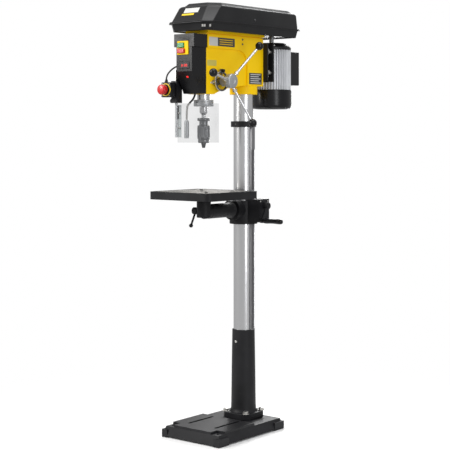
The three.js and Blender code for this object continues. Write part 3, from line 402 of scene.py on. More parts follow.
# Several small shapes as one piece, with their modifiers applied first.
def joined(name, parts):
    depsgraph = bpy.context.evaluated_depsgraph_get()
    shape = bmesh.new()
    materials = []
    for part in parts:
        done = part.evaluated_get(depsgraph)
        mesh = bpy.data.meshes.new_from_object(done)
        offset = len(shape.faces)
        shape.from_mesh(mesh)
        shape.faces.ensure_lookup_table()
        places = []
        for material in mesh.materials:
            if material not in materials:
                materials.append(material)
            places.append(materials.index(material))
        for face in shape.faces[offset:]:
            face.material_index = places[min(face.material_index, len(places) - 1)]
        bpy.data.meshes.remove(mesh)
        bpy.data.objects.remove(part)
    whole = bpy.data.meshes.new(name)
    shape.to_mesh(whole)
    shape.free()
    for material in materials:
        whole.materials.append(material)
    return placed(name, whole)


def stand(piece, node, body):
    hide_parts(node)
    added(piece, body)


# A CAD piece kept in its own shape, with its edges rounded and its finish.
def casting(name, node, finish, body, slotName, *edges):
    stand(castCopy(name, node, finish, *edges), node, body)


def added(piece, body):
    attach(piece, body)


# A hexagon-headed bolt seen from outside, with its washer.
def bolt(name, at, axis, across=0.013, high=0.006, finish="zincSteel"):
    washer = turned(name + "Washer", [(across * 0.75, 0), (across * 0.75, 0.0015)],
                    at, axis, finish, 28, 0.0003)
    head = turned(name + "Head", [(across * 0.55, 0.0014), (across * 0.55, high),
                                  (across * 0.42, high + 0.0012)], at, axis, finish, 6, 0)
    return [washer, head]


# A round-headed screw with a small dished recess in place of its slot.
def screw(name, at, axis, radius=0.004, finish="zincSteel"):
    profile = [(radius * 0.35, 0.0012), (radius * 0.42, radius * 0.6),
               (radius * 0.85, radius * 0.35), (radius, 0), (radius, -0.001)]
    return turned(name, profile, at, axis, finish, 24, 0)


upward, rightward, leftward = (0, 0, 1), (1, 0, 0), (-1, 0, 0)
forward, backward = (0, -1, 0), (0, 1, 0)
print("tools ready")

# ---- camera ----
view = {"place": (3.0835, -3.9135, 1.1864), "turn": 39.09, "lens": 99.1, "shift": -0.2078}
camera = placed("camera", bpy.data.cameras.new("camera"))
camera.location = view["place"]
camera.rotation_euler = (math.radians(90), 0, math.radians(view["turn"]))
camera.data.lens, camera.data.shift_y = view["lens"], view["shift"]
bpy.context.scene.camera = camera


def spans(node):
    low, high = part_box(node)
    return np.array(low), np.array(high)


def middleOf(node):
    low, high = spans(node)
    return (low + high) / 2


# ---- base, foot, column and rack ----
def makeBase():
    look = {"soft": 0.0022, "bolt": 0.019, "boltHigh": 0.010, "boltOut": 0.0505, "flangeHigh": 0.0237,
            "corner": 0.025, "setScrewAt": (0, -0.0465, 0.348)}
    casting("castBase", "base", "blackIron", "root", "black_iron", look["soft"], 3)
    footLow, footHigh = spans("pedestal")
    flangeTop = footLow[2] + look["flangeHigh"]
    profile = [(0.0575, flangeTop - 0.001), (0.0535, flangeTop + 0.004),
               (0.0505, flangeTop + 0.012), (0.0498, flangeTop + 0.03), (0.0452, footHigh[2] - 0.012),
               (0.0452, footHigh[2]), (0.0408, footHigh[2]), (0.0405, footHigh[2] - 0.004)]
    tubePart = turned("footTube", profile, (0, 0, 0), upward, "blackIron", 96, 0.0012)
    half, corner = footHigh[0], look["corner"]
    outline = [(-half + corner, -half), (half - corner, -half), (half, -half + corner), (half, half - corner),
               (half - corner, half), (-half + corner, half), (-half, half - corner), (-half, -half + corner)]
    flange = prism("footFlange", outline, (footLow[2], flangeTop), "Z", "blackIron", 0.0025)
    setScrew = turned("footSetScrew", [(0.005, -0.002), (0.005, 0.004), (0.003, 0.005)],
                      look["setScrewAt"], forward, "zincSteel", 24)
    parts = [tubePart, flange, setScrew]
    for x, y in product((-1, 1), repeat=2):
        at = (x * look["boltOut"], y * look["boltOut"], flangeTop)
        parts += bolt(f"footBolt{x}{y}", at, upward, look["bolt"], look["boltHigh"])
    stand(joined("columnFoot", parts), "pedestal", "root")


def makeColumn():
    low, high = spans("column")
    profile = [(0.04, low[2]), (0.04, high[2])]
    stand(turned("columnTube", profile, (0, 0, 0), upward, "columnSteel", 128, 0.001),
          "column", "root")
    low, high = spans("column_rack")
    look = {"pitch": 0.0047, "deep": 0.0034, "toothTop": 1.116, "plain": 0.006}
    start = low[2] + look["plain"]
    count = int((look["toothTop"] - start) / look["pitch"])
    steps = start + np.arange(count)[:, None] * look["pitch"] + look["pitch"] * np.array([0.1, 0.35, 0.65,
                                                                                          0.9])
    depth = high[0] - look["deep"] * np.array([0, 1, 1, 0])
    teeth = np.stack([np.broadcast_to(depth, steps.shape), steps], -1).reshape(-1, 2)
    outline = np.concatenate([[(low[0], low[2]), (high[0], low[2])], teeth,
                              [(high[0], high[2]), (low[0], high[2])]])
    rack = prism("rackBar", outline, (low[1], high[1]), "Y", "rackSteel", 0)
    stand(rack, "column_rack", "rack_body")
    low, high = spans("rack_collar")
    collar = band("rackCollarRing", [(0.0406, low[2]), (0.0500, low[2]), (0.0508, low[2] + 0.0012),
                                     (0.0508, high[2] - 0.0012), (0.0500, high[2]), (0.0406, high[2])],
                  (0, 0, 0), upward, "blackIron", 112)
    grub = screw("collarScrew", (0.0, -0.0504, middleOf("rack_collar")[2]), forward, 0.003, "darkSteel")
    stand(joined("rackCollar", [collar, grub]), "rack_collar", "root")


# ---- table, its arm, bracket and lift ----
def makeTableGroup():
    look = {"screwY": (-0.024, 0.024), "screwZ": (0.835, 0.91), "screwR": 0.0035, "axisZ": 0.876,
            "gripLong": 0.09,
            "socketLow": 0.022, "beamStart": 0.028}
    bracket = castCopy("bracketCasting", "table_bracket", "blackIron", 0.0035, 3)
    low, high = spans("table_bracket")
    ring = [(0.0412, 0.0), (0.0540, 0.0), (0.0562, 0.0022), (0.0562, 0.0908), (0.0540, 0.093),
            (0.0412, 0.093)]
    parts = [bracket, band("bracketRing", ring, (0, 0, low[2]), upward, "blackIron", 112)]
    for y, z in product(look["screwY"], look["screwZ"]):
        parts.append(screw(f"caseScrew{y}{z}", (high[0], y, z), rightward, look["screwR"]))
    stand(joined("tableBracket", parts), "table_bracket", "bracket_body")
    casting("tiltBolt", "tilt_bolt", "darkSteel", "bracket_body", "dark_steel", 0.0008, 2)
    casting("liftPinion", "lift_pinion", "darkSteel", "lift_pinion_body", "dark_steel", 0.0004, 2)
    casting("liftCrank", "lift_crank", "blackIron", "crank_body", "black_iron", 0.0018, 3)
    low, high = spans("crank_grip")
    centre = middleOf("crank_grip")
    profile = [(0.0078, 0), (0.0098, 0.006), (0.0104, 0.014), (0.0092, 0.035), (0.0090, 0.05),
               (0.0104, 0.076), (0.0098, 0.084), (0.0078, look["gripLong"])]
    stand(turned("crankGrip", profile, (low[0], centre[1], centre[2]), rightward, "glossBlack", 48, 0.0015),
          "crank_grip", "crank_grip_body")
    casting("columnLockLever", "column_lock_lever", "blackIron", "column_lock_body", "dark_steel", 0.0008, 2)
    axisZ, tableY = look["axisZ"], middleOf("table")[1]
    beam = turned("armBeam", [(0.0284, 0), (0.0284, 0.118), (0.0300, 0.128), (0.0335, 0.136)],
                  (0, tableY + look["beamStart"], axisZ), backward, "blackIron", 72, 0.001)
    socket = band("armSocket", [(0.0167, 0), (0.0255, 0), (0.0276, 0.002), (0.0276, 0.0598), (0.0258, 0.0615),
                                (0.0167, 0.0615)], (0, tableY, axisZ - look["socketLow"]), upward,
                                "blackIron", 72)
    arm = castCopy("armCasting", "table_arm", "blackIron", 0.0022, 3)
    stand(joined("tableArm", [arm, socket]), "table_arm", "table_arm_body")
    added(beam, "table_arm_body")
    casting("tableClampLever", "table_clamp_lever", "blackIron", "table_clamp_body", "dark_steel", 0.0009, 2)


def roundedOutline(halfX, halfY, radius, steps=10):
    turn = np.linspace(0, np.pi / 2, steps)
    rows = []
    for k, (x, y) in enumerate([(1, 1), (-1, 1), (-1, -1), (1, -1)]):
        angle = turn + k * np.pi / 2
        rows.append(np.stack([x * (halfX - radius) + radius * np.cos(angle),
                              y * (halfY - radius) + radius * np.sin(angle)], -1))
    return np.concatenate(rows)


def carve(piece, tools):
    for tool in tools:
        boolean = piece.modifiers.new("carve", "BOOLEAN")
        boolean.operation, boolean.solver, boolean.object = "DIFFERENCE", "EXACT", tool
    depsgraph = bpy.context.evaluated_depsgraph_get()
    mesh = bpy.data.meshes.new_from_object(piece.evaluated_get(depsgraph))
    piece.modifiers.clear()
    piece.data = mesh
    for tool in tools:
        bpy.data.objects.remove(tool)
    return piece


def makeTable():
    look = {"high": 0.030, "corner": 0.024, "rim": 0.0085, "gutter": 0.013, "deep": 0.0035, "slot": 0.0065,
            "slotIn": 0.055, "slotOut": 0.152, "hole": 0.0125}
    low, high = spans("table")
    centre = middleOf("table")
    half = (high[0] - low[0]) / 2
    top = high[2]
    under = top - look["high"]

    def onTable(outline):
        return np.asarray(outline) + centre[:2]

    body = prism("tablePlate", onTable(roundedOutline(half, half, look["corner"])), (under, top), "Z",
                 "groundIron", 0)
    tools = []
    inset = look["rim"]
    outer = prism("gutterOuter", onTable(roundedOutline(half - inset, half - inset, look["corner"] - inset)),
                  (top - look["deep"], top + 0.01), "Z", "groundIron", 0)
    inset += look["gutter"]
    island = prism("gutterIsland", onTable(roundedOutline(half - inset, half - inset, 0.008)),
                   (top - look["deep"] - 0.01, top + 0.02), "Z", "groundIron", 0)
    tools.append(carve(outer, [island]))
    tools.append(prism("underHollow", onTable(roundedOutline(half - 0.009, half - 0.009, 0.017)),
                       (under - 0.01, under + 0.014), "Z", "groundIron", 0))
    turn = fullTurn(40)
    tools.append(prism("centreHole", onTable(look["hole"] * np.stack([np.cos(turn), np.sin(turn)], -1)),
                       (top - 0.0179, top + 0.01), "Z", "groundIron", 0))
    for k in range(4):
        angle = np.pi / 4 + k * np.pi / 2
        along = np.array([np.cos(angle), np.sin(angle)])
        across = np.array([-along[1], along[0]])
        cap = np.linspace(-np.pi / 2, np.pi / 2, 12)[:, None]
        ends = look["slot"] * (np.cos(cap) * along + np.sin(cap) * across)
        outline = np.concatenate([along * (look["slotOut"] - look["slot"]) + ends,
                                  along * (look["slotIn"] + look["slot"]) - ends])
        tools.append(prism(f"slotTool{k}", onTable(outline), (under - 0.01, top + 0.01), "Z", "groundIron",
                           0))
    body = carve(body, tools)
    body.data.materials.append(finishes["blackIron"])
    island = half - look["rim"] - look["gutter"] + 0.0005
    for face in body.data.polygons:
        corners = np.array([body.data.vertices[k].co for k in face.vertices]) - (centre[0], centre[1], top)
        ground = np.abs(corners[:, 2]).max() < 0.0005 and np.abs(corners[:, :2]).max() < island
        face.material_index = 0 if ground else 1
    body.data.set_sharp_from_angle(angle=math.radians(30))
    softened(body, 0.0009, 2, 30)
    stem = turned("tableStem", [(0.016, low[2]), (0.016, under - 0.0097), (0.024, under - 0.0097),
                                (0.034, under + 0.001), (0.034, under + 0.0145)],
                  (centre[0], centre[1], 0), upward, "blackIron", 64, 0.001)
    rib = slab("tableRib", (centre[0] - 0.003, centre[1] - half + 0.009, under + 0.001),
               (centre[0] + 0.003, centre[1] + half - 0.009, under + 0.0145), "blackIron", 0.001)
    stand(joined("workTable", [body, stem, rib]), "table", "table_body")


makeBase()
makeColumn()
makeTableGroup()
makeTable()
print("base, column and table made")


# ---- head casting and its small parts ----
# A thin plate on a side that faces right.
def sidePlate(name, x, y, z, finish, soft=0.0003, thick=0.0008):
    return slab(name, (x, y[0], z[0]), (x + thick, y[1], z[1]), finish, soft, 2)


def makeHead():
    casting("headCasting", "head_casting", "yellowPaint", "root", "yellow_paint", 0.0022, 4, 2.0, 26)
    side, rib = 0.045, 0.052
    screws = {"y": -0.072, "z": (1.549, 1.531)}
    collarFit = turned("headCollarSkin", [(0.041, 1.3352), (0.041, 1.3345), (0.0555, 1.3345),
                                          (0.0555, 1.3685)], (0, 0, 0), upward,
                       "yellowPaint", 96, 0.0008)
    added(collarFit, "root")
    # data plate, plain name plate and screws
    plate = {"y": (-0.030, 0.052), "z": (1.375, 1.420), "bars": 5}
    parts = [sidePlate("plateBack", rib, plate["y"], plate["z"], "darkLabel")]
    rows = np.linspace(plate["z"][0] + 0.006, plate["z"][1] - 0.006, plate["bars"])
    for k, z in enumerate(rows):
        end = plate["y"][1] - 0.008 - 0.012 * (k % 2)
        parts.append(slab(f"plateBar{k}", (rib + 0.0006, plate["y"][0] + 0.008, z - 0.0016),
                          (rib + 0.0011, end, z + 0.0016), "paleLabel", 0))
    sign = {"y": (-0.278, -0.122), "z": (1.516, 1.549), "split": -0.226,
            "stripes": (1.524, 1.5325, 1.541)}
    front, split, back = sign["y"][0], sign["split"], sign["y"][1]
    parts.append(sidePlate("signPale", rib, (front, split), sign["z"], "paleLabel"))
    parts.append(sidePlate("signDark", rib, (split, back), sign["z"], "darkLabel"))
    for k, z in enumerate(sign["stripes"]):
        parts.append(slab(f"signStripe{k}", (rib + 0.0006, sign["split"] + 0.010, z - 0.0012),
                          (rib + 0.0011, sign["y"][1] - 0.012, z + 0.0012), "yellowPaint", 0))
    for z in screws["z"]:
        parts.append(screw(f"headScrew{z}", (rib, screws["y"], z), rightward, 0.0042, "darkSteel"))
    for name, y, z, finish in (("noticePale", (-0.281, -0.226), (1.439, 1.461), "fadedLabel"),
                               ("scaleMark", (-0.262, -0.250), (1.371, 1.377), "paleLabel")):
        parts.append(sidePlate(name, side, y, z, finish, 0.0002, 0.0006))
    guide = turned("guideScrew", [(0.009, 0), (0.009, 0.006), (0.0045, 0.007), (0.0045, 0.016),
                                  (0.0035, 0.017)], (side, -0.249, 1.375), rightward, "zincSteel", 6, 0)
    added(joined("headPlatesAndScrews", parts + [guide]), "root")
    centre = middleOf("return_spring_cap")
    centre[0] = spans("return_spring_cap")[1][0]
    profile = [(0.032, 0), (0.032, 0.009), (0.0275, 0.0148), (0.011, 0.0150), (0.0105, 0.0175),
               (0.009, 0.020)]
    cap = turned("springCapShell", profile, centre, leftward, "blackIron", 72, 0.001)
    stand(cap, "return_spring_cap", "root")


def makeFront():
    casting("frontCover", "front_cover", "glossBlack", "root", "black_plastic", 0.0028, 4, 1.0, 20)
    casting("switchHousing", "switch_housing", "yellowPaint", "root", "yellow_paint", 0.0022, 3)
    casting("startButton", "start_button", "greenPlastic", "start_button_body", "green_plastic", 0.0018, 3)
    casting("stopButton", "stop_button", "redPlastic", "stop_button_body", "red_plastic", 0.0018, 3)
    low, high = spans("speed_display")
    window = castCopy("displayCase", "speed_display", "glossBlack", 0.0012, 3)
    digit = {"wide": 0.0046, "high": 0.0088, "bar": 0.0010, "gap": 0.0076, "left": 0.011, "low": 0.009}
    parts = [window]
    # four figures made of bars, each a plain 8 with some bars left out
    figures = ["abcdefg", "bc", "abcdefg", "abcdef"]
    face = low[1]
    for k, bars in enumerate(figures):
        x0 = low[0] + digit["left"] + k * digit["gap"]
        z0 = low[2] + digit["low"]
        w, h, t = digit["wide"], digit["high"], digit["bar"]
        places = {"a": (0, w, h - t, h), "g": (0, w, h / 2 - t / 2, h / 2 + t / 2), "d": (0, w, 0, t),
                  "f": (0, t, h / 2, h), "b": (w - t, w, h / 2, h), "e": (0, t, 0, h / 2),
                  "c": (w - t, w, 0, h / 2)}
        for letter in bars:
            xa, xb, za, zb = places[letter]
            parts.append(slab(f"digit{k}{letter}", (x0 + xa, face - 0.0003, z0 + za),
                              (x0 + xb, face + 0.0004, z0 + zb), "redGlow", 0))
    stand(joined("speedDisplay", parts), "speed_display", "root")
    # a small pilot window on the sloping face below
    pilot = {"x": (0.003, 0.012), "z": (1.391, 1.397), "slope": 0.0462 / 0.084, "foot": (-0.3178, 1.331)}
    low, high = ((pilot["foot"][0] - (z - pilot["foot"][1]) * pilot["slope"], z) for z in pilot["z"])
    outline = [(low[0] + 0.001, low[1]), (low[0] - 0.0012, low[1]), (high[0] - 0.0012, high[1]),
               (high[0] + 0.001, high[1])]
    added(prism("pilotWindow", outline, pilot["x"], "X", "redGlow", 0.0004, 2), "root")


# ---- quill, spindle and chuck ----
def makeChuck():
    centre = middleOf("quill")
    at = (centre[0], centre[1], 0)
    low, high = spans("quill")
    stand(turned("quillTube", [(0.0249, low[2]), (0.0249, high[2])], at, upward,
                 "columnSteel", 80, 0.001), "quill", "quill_body")
    low, high = spans("quill_collar")
    profile = [(0.0372, low[2]), (0.0385, low[2] + 0.0015), (0.0385, high[2] - 0.009),
               (0.0372, high[2] - 0.0085), (0.0372, high[2] - 0.0075), (0.0385, high[2] - 0.007),
               (0.0385, high[2])]
    stand(turned("depthCollar", profile, at, upward, "castAluminium", 96, 0.0006), "quill_collar",
          "quill_body")
    low, high = spans("spindle")
    profile = [(0.006, low[2]), (0.008, 1.239), (0.008, 1.252), (0.010, 1.2525), (0.0155, 1.260),
               (0.0155, 1.2815), (0.0079, 1.2815), (0.0079, high[2])]
    stand(turned("spindleShaft", profile, at, upward, "columnSteel", 64, 0.0008), "spindle", "spindle_body")
    sleeveLow, sleeveHigh = spans("chuck_sleeve")
    bodyLow = spans("chuck_body")[0]
    profile = [(0.0105, bodyLow[2] + 0.014), (0.0105, bodyLow[2]), (0.0196, bodyLow[2]),
               (0.0215, bodyLow[2] + 0.003),
               (0.0215, sleeveLow[2] - 0.0006), (0.0192, sleeveLow[2] - 0.0006),
               (0.0192, sleeveHigh[2] + 0.0006),
               (0.0165, sleeveHigh[2] + 0.0008), (0.0165, 1.2268), (0.0225, 1.2272), (0.0242, 1.229),
               (0.0242, 1.2365), (0.0225, 1.2385)]
    stand(turned("chuckBody", profile, at, upward, "darkSteel", 96, 0.0005), "chuck_body", "spindle_body")
    # knurled sleeve: fine ridges round a band, plain at both ends
    look = {"ridges": 60, "ridge": 0.0006, "plain": 0.007}
    z0, z1 = sleeveLow[2], sleeveHigh[2]
    rows = [(0.0196, z0, 0), (0.0222, z0, 0), (0.0240, z0 + 0.002, 0), (0.0240, z0 + look["plain"], 0),
            (0.0236, z0 + look["plain"] + 0.001, 1), (0.0236, z1 - look["plain"] - 0.001, 1),
            (0.0240, z1 - look["plain"], 0), (0.0240, z1 - 0.002, 0), (0.0222, z1, 0), (0.0196, z1, 0)]
    sleeve = band("chuckSleeve", rows, at, upward, "darkSteel", look["ridges"] * 4, look["ridge"], 25)
    stand(sleeve, "chuck_sleeve", "chuck_sleeve_body")
    for number in (1, 2, 3):
        casting(f"chuckJaw{number}", f"chuck_jaw_{number}", "darkSteel", f"jaw_{number}_body", "dark_steel",
                0.0004, 2)


# ---- feed hub, levers and depth ring ----
def makeFeed():
    look = {"axisY": -0.213, "axisZ": 1.380, "hubStart": 0.066, "hubEnd": 0.120}
    at = (0, look["axisY"], look["axisZ"])
    start, end = look["hubStart"], look["hubEnd"]
    profile = [(0.0098, -0.043), (0.0098, start - 0.0005), (0.0198, start), (0.0198, start + 0.020),
               (0.0215, start + 0.0245), (0.0262, start + 0.0275), (0.0278, start + 0.031),
               (0.0278, end - 0.003),
               (0.0252, end), (0.010, end), (0.0095, end - 0.0018)]
    hub = turned("feedHub", profile, at, rightward, "castAluminium", 96, 0.0008)
    stand(hub, "feed_hub", "feed_body")
    for number in (1, 2, 3):
        bar = nodes[f"feed_lever_{number}"].data
        count = len(bar.vertices)
        points = np.zeros(3 * count)
        bar.vertices.foreach_get("co", points)
        points = points.reshape(-1, 3)
        inner = points[points[:, 0].argsort()][: count // 2].mean(0)
        outer = points[points[:, 0].argsort()][count // 2:].mean(0)
        along = (outer - inner) / np.linalg.norm(outer - inner)
        long = np.linalg.norm(outer - inner)
        rod = turned(f"feedRod{number}", [(0.0052, 0), (0.0052, long)], inner, along,
                     "columnSteel", 48, 0.0005)
        nut = turned(f"leverNut{number}", [(0.0088, 0.014), (0.0088, 0.022)], inner, along,
                     "zincSteel", 6, 0)
        stand(joined(f"feedLever{number}", [rod, nut]), f"feed_lever_{number}", "feed_body")
        centre = middleOf(f"feed_knob_{number}")
        turn = np.linspace(0.30, np.pi, 24)
        ballRadius = 0.016
        profile = [(0.0068, -ballRadius * np.cos(turn[0]) - 0.002)]
        profile += [(ballRadius * np.sin(t), -ballRadius * np.cos(t)) for t in turn[1:-1]] + [(0, ballRadius)]
        ball = turned(f"feedKnob{number}", profile, centre, along, "glossBlack", 48, 0)
        stand(ball, f"feed_knob_{number}", "feed_body")
    low, high = spans("depth_ring")
    x0, x1 = low[0], high[0]
    ring = castCopy("depthRingBody", "depth_ring", "ringMetal", 0.0006, 2, 1.0, 24)
    scale = band("depthScale", [(0.0372, x0 + 0.0018), (0.0384, x0 + 0.0018), (0.0384, x1 - 0.0018),
                                (0.0372, x1 - 0.0018)],
                 at, rightward, "paleLabel", 96)
    marks = []
    for k in range(24):
        angle = k * 2 * np.pi / 24
        across = np.array([0, np.cos(angle), np.sin(angle)])
        centre = np.array(at) + across * 0.0385 + np.array([(x0 + x1) / 2, 0, 0])
        marks.append(tube(f"mark{k}", np.array([centre - (0.0018, 0, 0), centre, centre + (0.0018, 0, 0)]),
                          0.0003, "darkLabel", 6))
    stand(joined("depthRing", [ring, scale] + marks), "depth_ring", "depth_ring_body")
    low, high = spans("depth_lock_knob")
    centre = middleOf("depth_lock_knob")
    profile = [(0.003, x1 + 0.0002), (0.003, x1 + 0.002), (0.0062, x1 + 0.002),
               (0.0065, high[0] - 0.001), (0.0058, high[0])]
    stand(turned("depthLockKnob", profile, (0, centre[1], centre[2]), rightward, "blackPlastic", 40, 0.0004),
          "depth_lock_knob", "depth_lock_body")


makeHead()
makeFront()
makeChuck()
makeFeed()
print("head, chuck and feed made")


# ---- chuck guard, emergency stop and lamp ----
def makeGuard():
    look = {"thick": 0.0026, "bend": 0.042, "round": 0.012, "post": (-0.069, -0.330, 0), "postR": 0.0049,
            "screwZ": (1.257, 1.20), "boltY": -0.268, "boltZ": (1.395, 1.422), "knobR": 0.0086,
            "knobWave": 0.0005}
    bracket = castCopy("guardPivotBlock", "guard_bracket", "blackIron", 0.0015, 3)
    low, high = spans("guard_bracket")
    parts = [bracket]
    parts.append(slab("guardTab", (-0.0623, -0.3453, 1.3805), (-0.0577, -0.3167, 1.4223), "zincSteel",
                      0.0006, 2))
    for z in look["boltZ"]:
        parts += bolt(f"guardBolt{z}", (low[0] + 0.022, look["boltY"], z), leftward, 0.009, 0.005)
    stand(joined("guardBracket", parts), "guard_bracket", "root")
    centre = middleOf("guard_thumb_screw")
    low, high = spans("guard_thumb_screw")
    turn = fullTurn(24)
    waves = look["knobR"] + look["knobWave"] * np.cos(6 * turn)
    outline = np.stack([centre[1] + waves * np.cos(turn), centre[2] + waves * np.sin(turn)], -1)
    head = prism("thumbHead", outline, (low[0], high[0] - 0.0028), "X", "blackPlastic", 0.0006)
    stem = turned("thumbStem", [(0.003, 0), (0.003, 0.004)],
                  (high[0] - 0.004, centre[1], centre[2]), rightward, "zincSteel", 20, 0)
    stand(joined("guardThumbScrew", [head, stem]), "guard_thumb_screw", "guard_screw_body")
    low, high = spans("guard_carrier")
    paneLow, paneHigh = spans("guard_shield")
    rod = [(look["postR"], low[2]), (look["postR"], high[2])]
    post = turned("guardPost", rod, look["post"], upward, "castAluminium", 40, 0.0008)
    back = paneLow[1] + 0.0033
    strip = slab("guardStrip", (-0.0645, back, low[2]), (-0.048, back + 0.0027, 1.288), "sheetEdge", 0.0006,
                 2)
    tie = slab("guardTie", (-0.073, back, 1.234), (-0.057, back + 0.0027, 1.286), "sheetEdge", 0.0006, 2)
    parts = [post, strip, tie]
    for z in look["screwZ"]:
        parts.append(screw(f"guardScrew{z}", (paneLow[0] + 0.008, paneLow[1] - 0.0002, z), forward, 0.0036))
    stand(joined("guardCarrier", parts), "guard_carrier", "guard_body")
    # a bent clear sheet: flat front, a rounded turn and a flat return
    x0, y0 = paneLow[0], paneLow[1] + 0.0001
    x1, y1 = paneHigh[0] - 0.0001, paneHigh[1]
    corner = np.array([[x0, y0], [x1 - look["bend"], y0], [x1, y0 + look["bend"]], [x1, y1]])
    rows = [corner[0]]
    for before, here, after in zip(corner, corner[1:], corner[2:]):
        first = here + (before - here) / np.linalg.norm(before - here) * look["round"]
        last = here + (after - here) / np.linalg.norm(after - here) * look["round"]
        for share in np.linspace(0, 1, 9):
            rows.append((1 - share) ** 2 * first + 2 * share * (1 - share) * here + share**2 * last)
    rows.append(corner[-1])
    rows = np.array(rows)
    tangent = np.gradient(rows, axis=0)
    tangent /= np.linalg.norm(tangent, axis=1)[:, None]
    inside = rows + np.stack([-tangent[:, 1], tangent[:, 0]], -1) * look["thick"]
    pane = prism("guardShield", np.concatenate([rows, inside[::-1]]), (paneLow[2], paneHigh[2]), "Z",
                 "clearSheet", 0)
    pane.data.materials.append(finishes["sheetEdge"])
    for face in pane.data.polygons:
        face.material_index = 1 if len(face.vertices) > 4 else 0
    stand(pane, "guard_shield", "guard_body")


def makeEmergencyStop():
    look = {"round": 0.003, "ringR": 0.024, "screwInset": 0.006, "screwR": 0.0026, "cableR": 0.003}
    low, high = spans("estop_box")
    button = middleOf("estop_button")
    front = low[1] + 0.003
    caseParts = [slab("stopCase", (low[0], front, low[2]), (high[0], high[1] - 0.0008, high[2]),
                      "blackPlastic", look["round"], 4)]
    seam = slab("stopCaseLid", (low[0] + 0.0004, front + 0.008, low[2] + 0.0004),
                (high[0] - 0.0004, front + 0.0085, high[2] - 0.0004), "darkLabel", 0)
    ring = turned("stopRing", [(look["ringR"], 0.002), (look["ringR"], -0.0022),
                               (look["ringR"] - 0.0008, -0.0029)],
                  (button[0], front, button[2]), backward, "signYellow", 72, 0)
    dark = turned("stopRingInner", [(0.0212, -0.0025), (0.0212, -0.0032)],
                  (button[0], front, button[2]), backward, "blackPlastic", 64, 0)
    caseParts += [seam, ring, dark]
    inset = look["screwInset"]
    for x, z in product((low[0] + inset, high[0] - inset), (low[2] + inset, high[2] - inset)):
        caseParts.append(screw(f"stopScrew{x:.3f}{z:.3f}", (x, front, z), forward, look["screwR"]))
    gland = turned("stopGland", [(0.0072, -0.001), (0.0072, 0.004), (0.0055, 0.0045),
                                 (0.0055, 0.009), (0.0036, 0.013)],
                   (-0.088, -0.366, high[2] - 0.0005), upward, "blackPlastic", 32, 0.0004)
    caseParts.append(gland)
    stand(joined("stopBox", caseParts), "estop_box", "root")
    low, high = spans("estop_button")
    profile = [(0.008, -0.020), (0.008, 0.0002), (0.0170, 0.0002), (0.0186, 0.0010), (0.0193, 0.0030),
               (0.0193, 0.0150), (0.0189, 0.0178), (0.0176, 0.0198), (0.0155, 0.0210), (0.0120, 0.0217),
               (0, 0.022)]
    mushroom = turned("stopButtonHead", profile, (button[0], low[1] + 0.022, button[2]), forward,
                      "redPlastic", 72, 0, 60)
    stand(mushroom, "estop_button", "estop_button_body")
    route = [(-0.088, -0.366, 1.3755), (-0.088, -0.366, 1.390), (-0.085, -0.360, 1.408),
             (-0.076, -0.342, 1.428),
             (-0.065, -0.318, 1.441), (-0.056, -0.298, 1.446), (-0.0505, -0.2845, 1.447),
             (-0.0462, -0.283, 1.447)]
    stand(tube("stopCable", smoothPath(route), look["cableR"], "rubber", 18), "estop_cable", "root")


def makeLamp():
    look = {"neckR": 0.0037, "ribDeep": 0.0003, "ribTurn": 1.5, "rubberShare": (3, 7)}
    route = [(0.002, -0.303, 1.3295), (0.0, -0.303, 1.322), (-0.008, -0.305, 1.308), (-0.020, -0.308, 1.296),
             (-0.031, -0.308, 1.284), (-0.036, -0.306, 1.268), (-0.038, -0.305, 1.250),
             (-0.038, -0.305, 1.2315)]
    path = smoothPath(route, 30)
    ribs = look["neckR"] + look["ribDeep"] * np.cos(np.arange(len(path)) * np.pi / look["ribTurn"])
    split = len(path) * look["rubberShare"][0] // look["rubberShare"][1]
    neck = [tube("lampNeckTop", path[: split + 1], ribs[: split + 1], "rubber", 20),
            tube("lampNeckLow", path[split:], ribs[split:], "zincSteel", 20)]
    stand(joined("lampNeck", neck), "lamp_neck", "root")
    low, high = spans("lamp_head")
    centre = middleOf("lamp_head")
    at = (centre[0], centre[1], 0)
    profile = [(0.0068, low[2] + 0.004), (0.0072, low[2]), (0.0088, low[2] + 0.0006),
               (0.009, low[2] + 0.004), (0.009, high[2] - 0.009), (0.0062, high[2] - 0.001)]
    shell = turned("lampShell", profile, at, upward, "castAluminium", 48, 0.0003)
    glow = turned("lampLens", [(0.0066, low[2] + 0.0048), (0.0064, low[2] + 0.002),
                               (0.004, low[2] + 0.0008), (0, low[2] + 0.0004)], at, upward, "lampGlow", 40, 0)
    stand(joined("lampHead", [shell, glow]), "lamp_head", "root")


# ---- belt cover, pulleys and belts ----
# A polygon with every corner given the same round.
def cornersRounded(points, radius, steps=6):
    points = np.asarray(points, float)
    rows = []
    for before, here, after in zip(np.roll(points, 1, 0), points, np.roll(points, -1, 0)):
        back, ahead = before - here, after - here
        back, ahead = back / np.linalg.norm(back), ahead / np.linalg.norm(ahead)
        reach = radius / math.tan(math.acos(np.clip(back @ ahead, -1, 1)) / 2)
        for share in np.linspace(0, 1, steps):
            rows.append(here + reach * ((1 - share) ** 2 * back + share**2 * ahead))
    return np.array(rows)


# The cover's plan at a height goes from its rim to its top, which leans back, and is drawn in by inset.
cover = {"rimZ": 1.6023, "topZ": 1.6683, "corner": 0.0305}


def coverPlan(z, inset):
    share = min(1, max(0, (z - cover["rimZ"]) / (cover["topZ"] - cover["rimZ"])))
    cut = cover["corner"]
    x0, f0, b0 = 0.1064 - inset, -0.3524 + inset, 0.2314 - inset
    x1, f1, b1 = 0.1040 - inset, -0.3060 + inset, 0.2210 - inset
    rim = [(-x0 + cut, f0), (x0 - cut, f0), (x0, f0 + cut), (x0, b0), (-x0, b0), (-x0, f0 + cut)]
    top = [(-x1 + 0.034, f1), (x1 - 0.034, f1), (x1, f1 + 0.042), (x1, b1), (-x1, b1), (-x1, f1 + 0.042)]
    return (1 - share) * np.array(rim) + share * np.array(top)


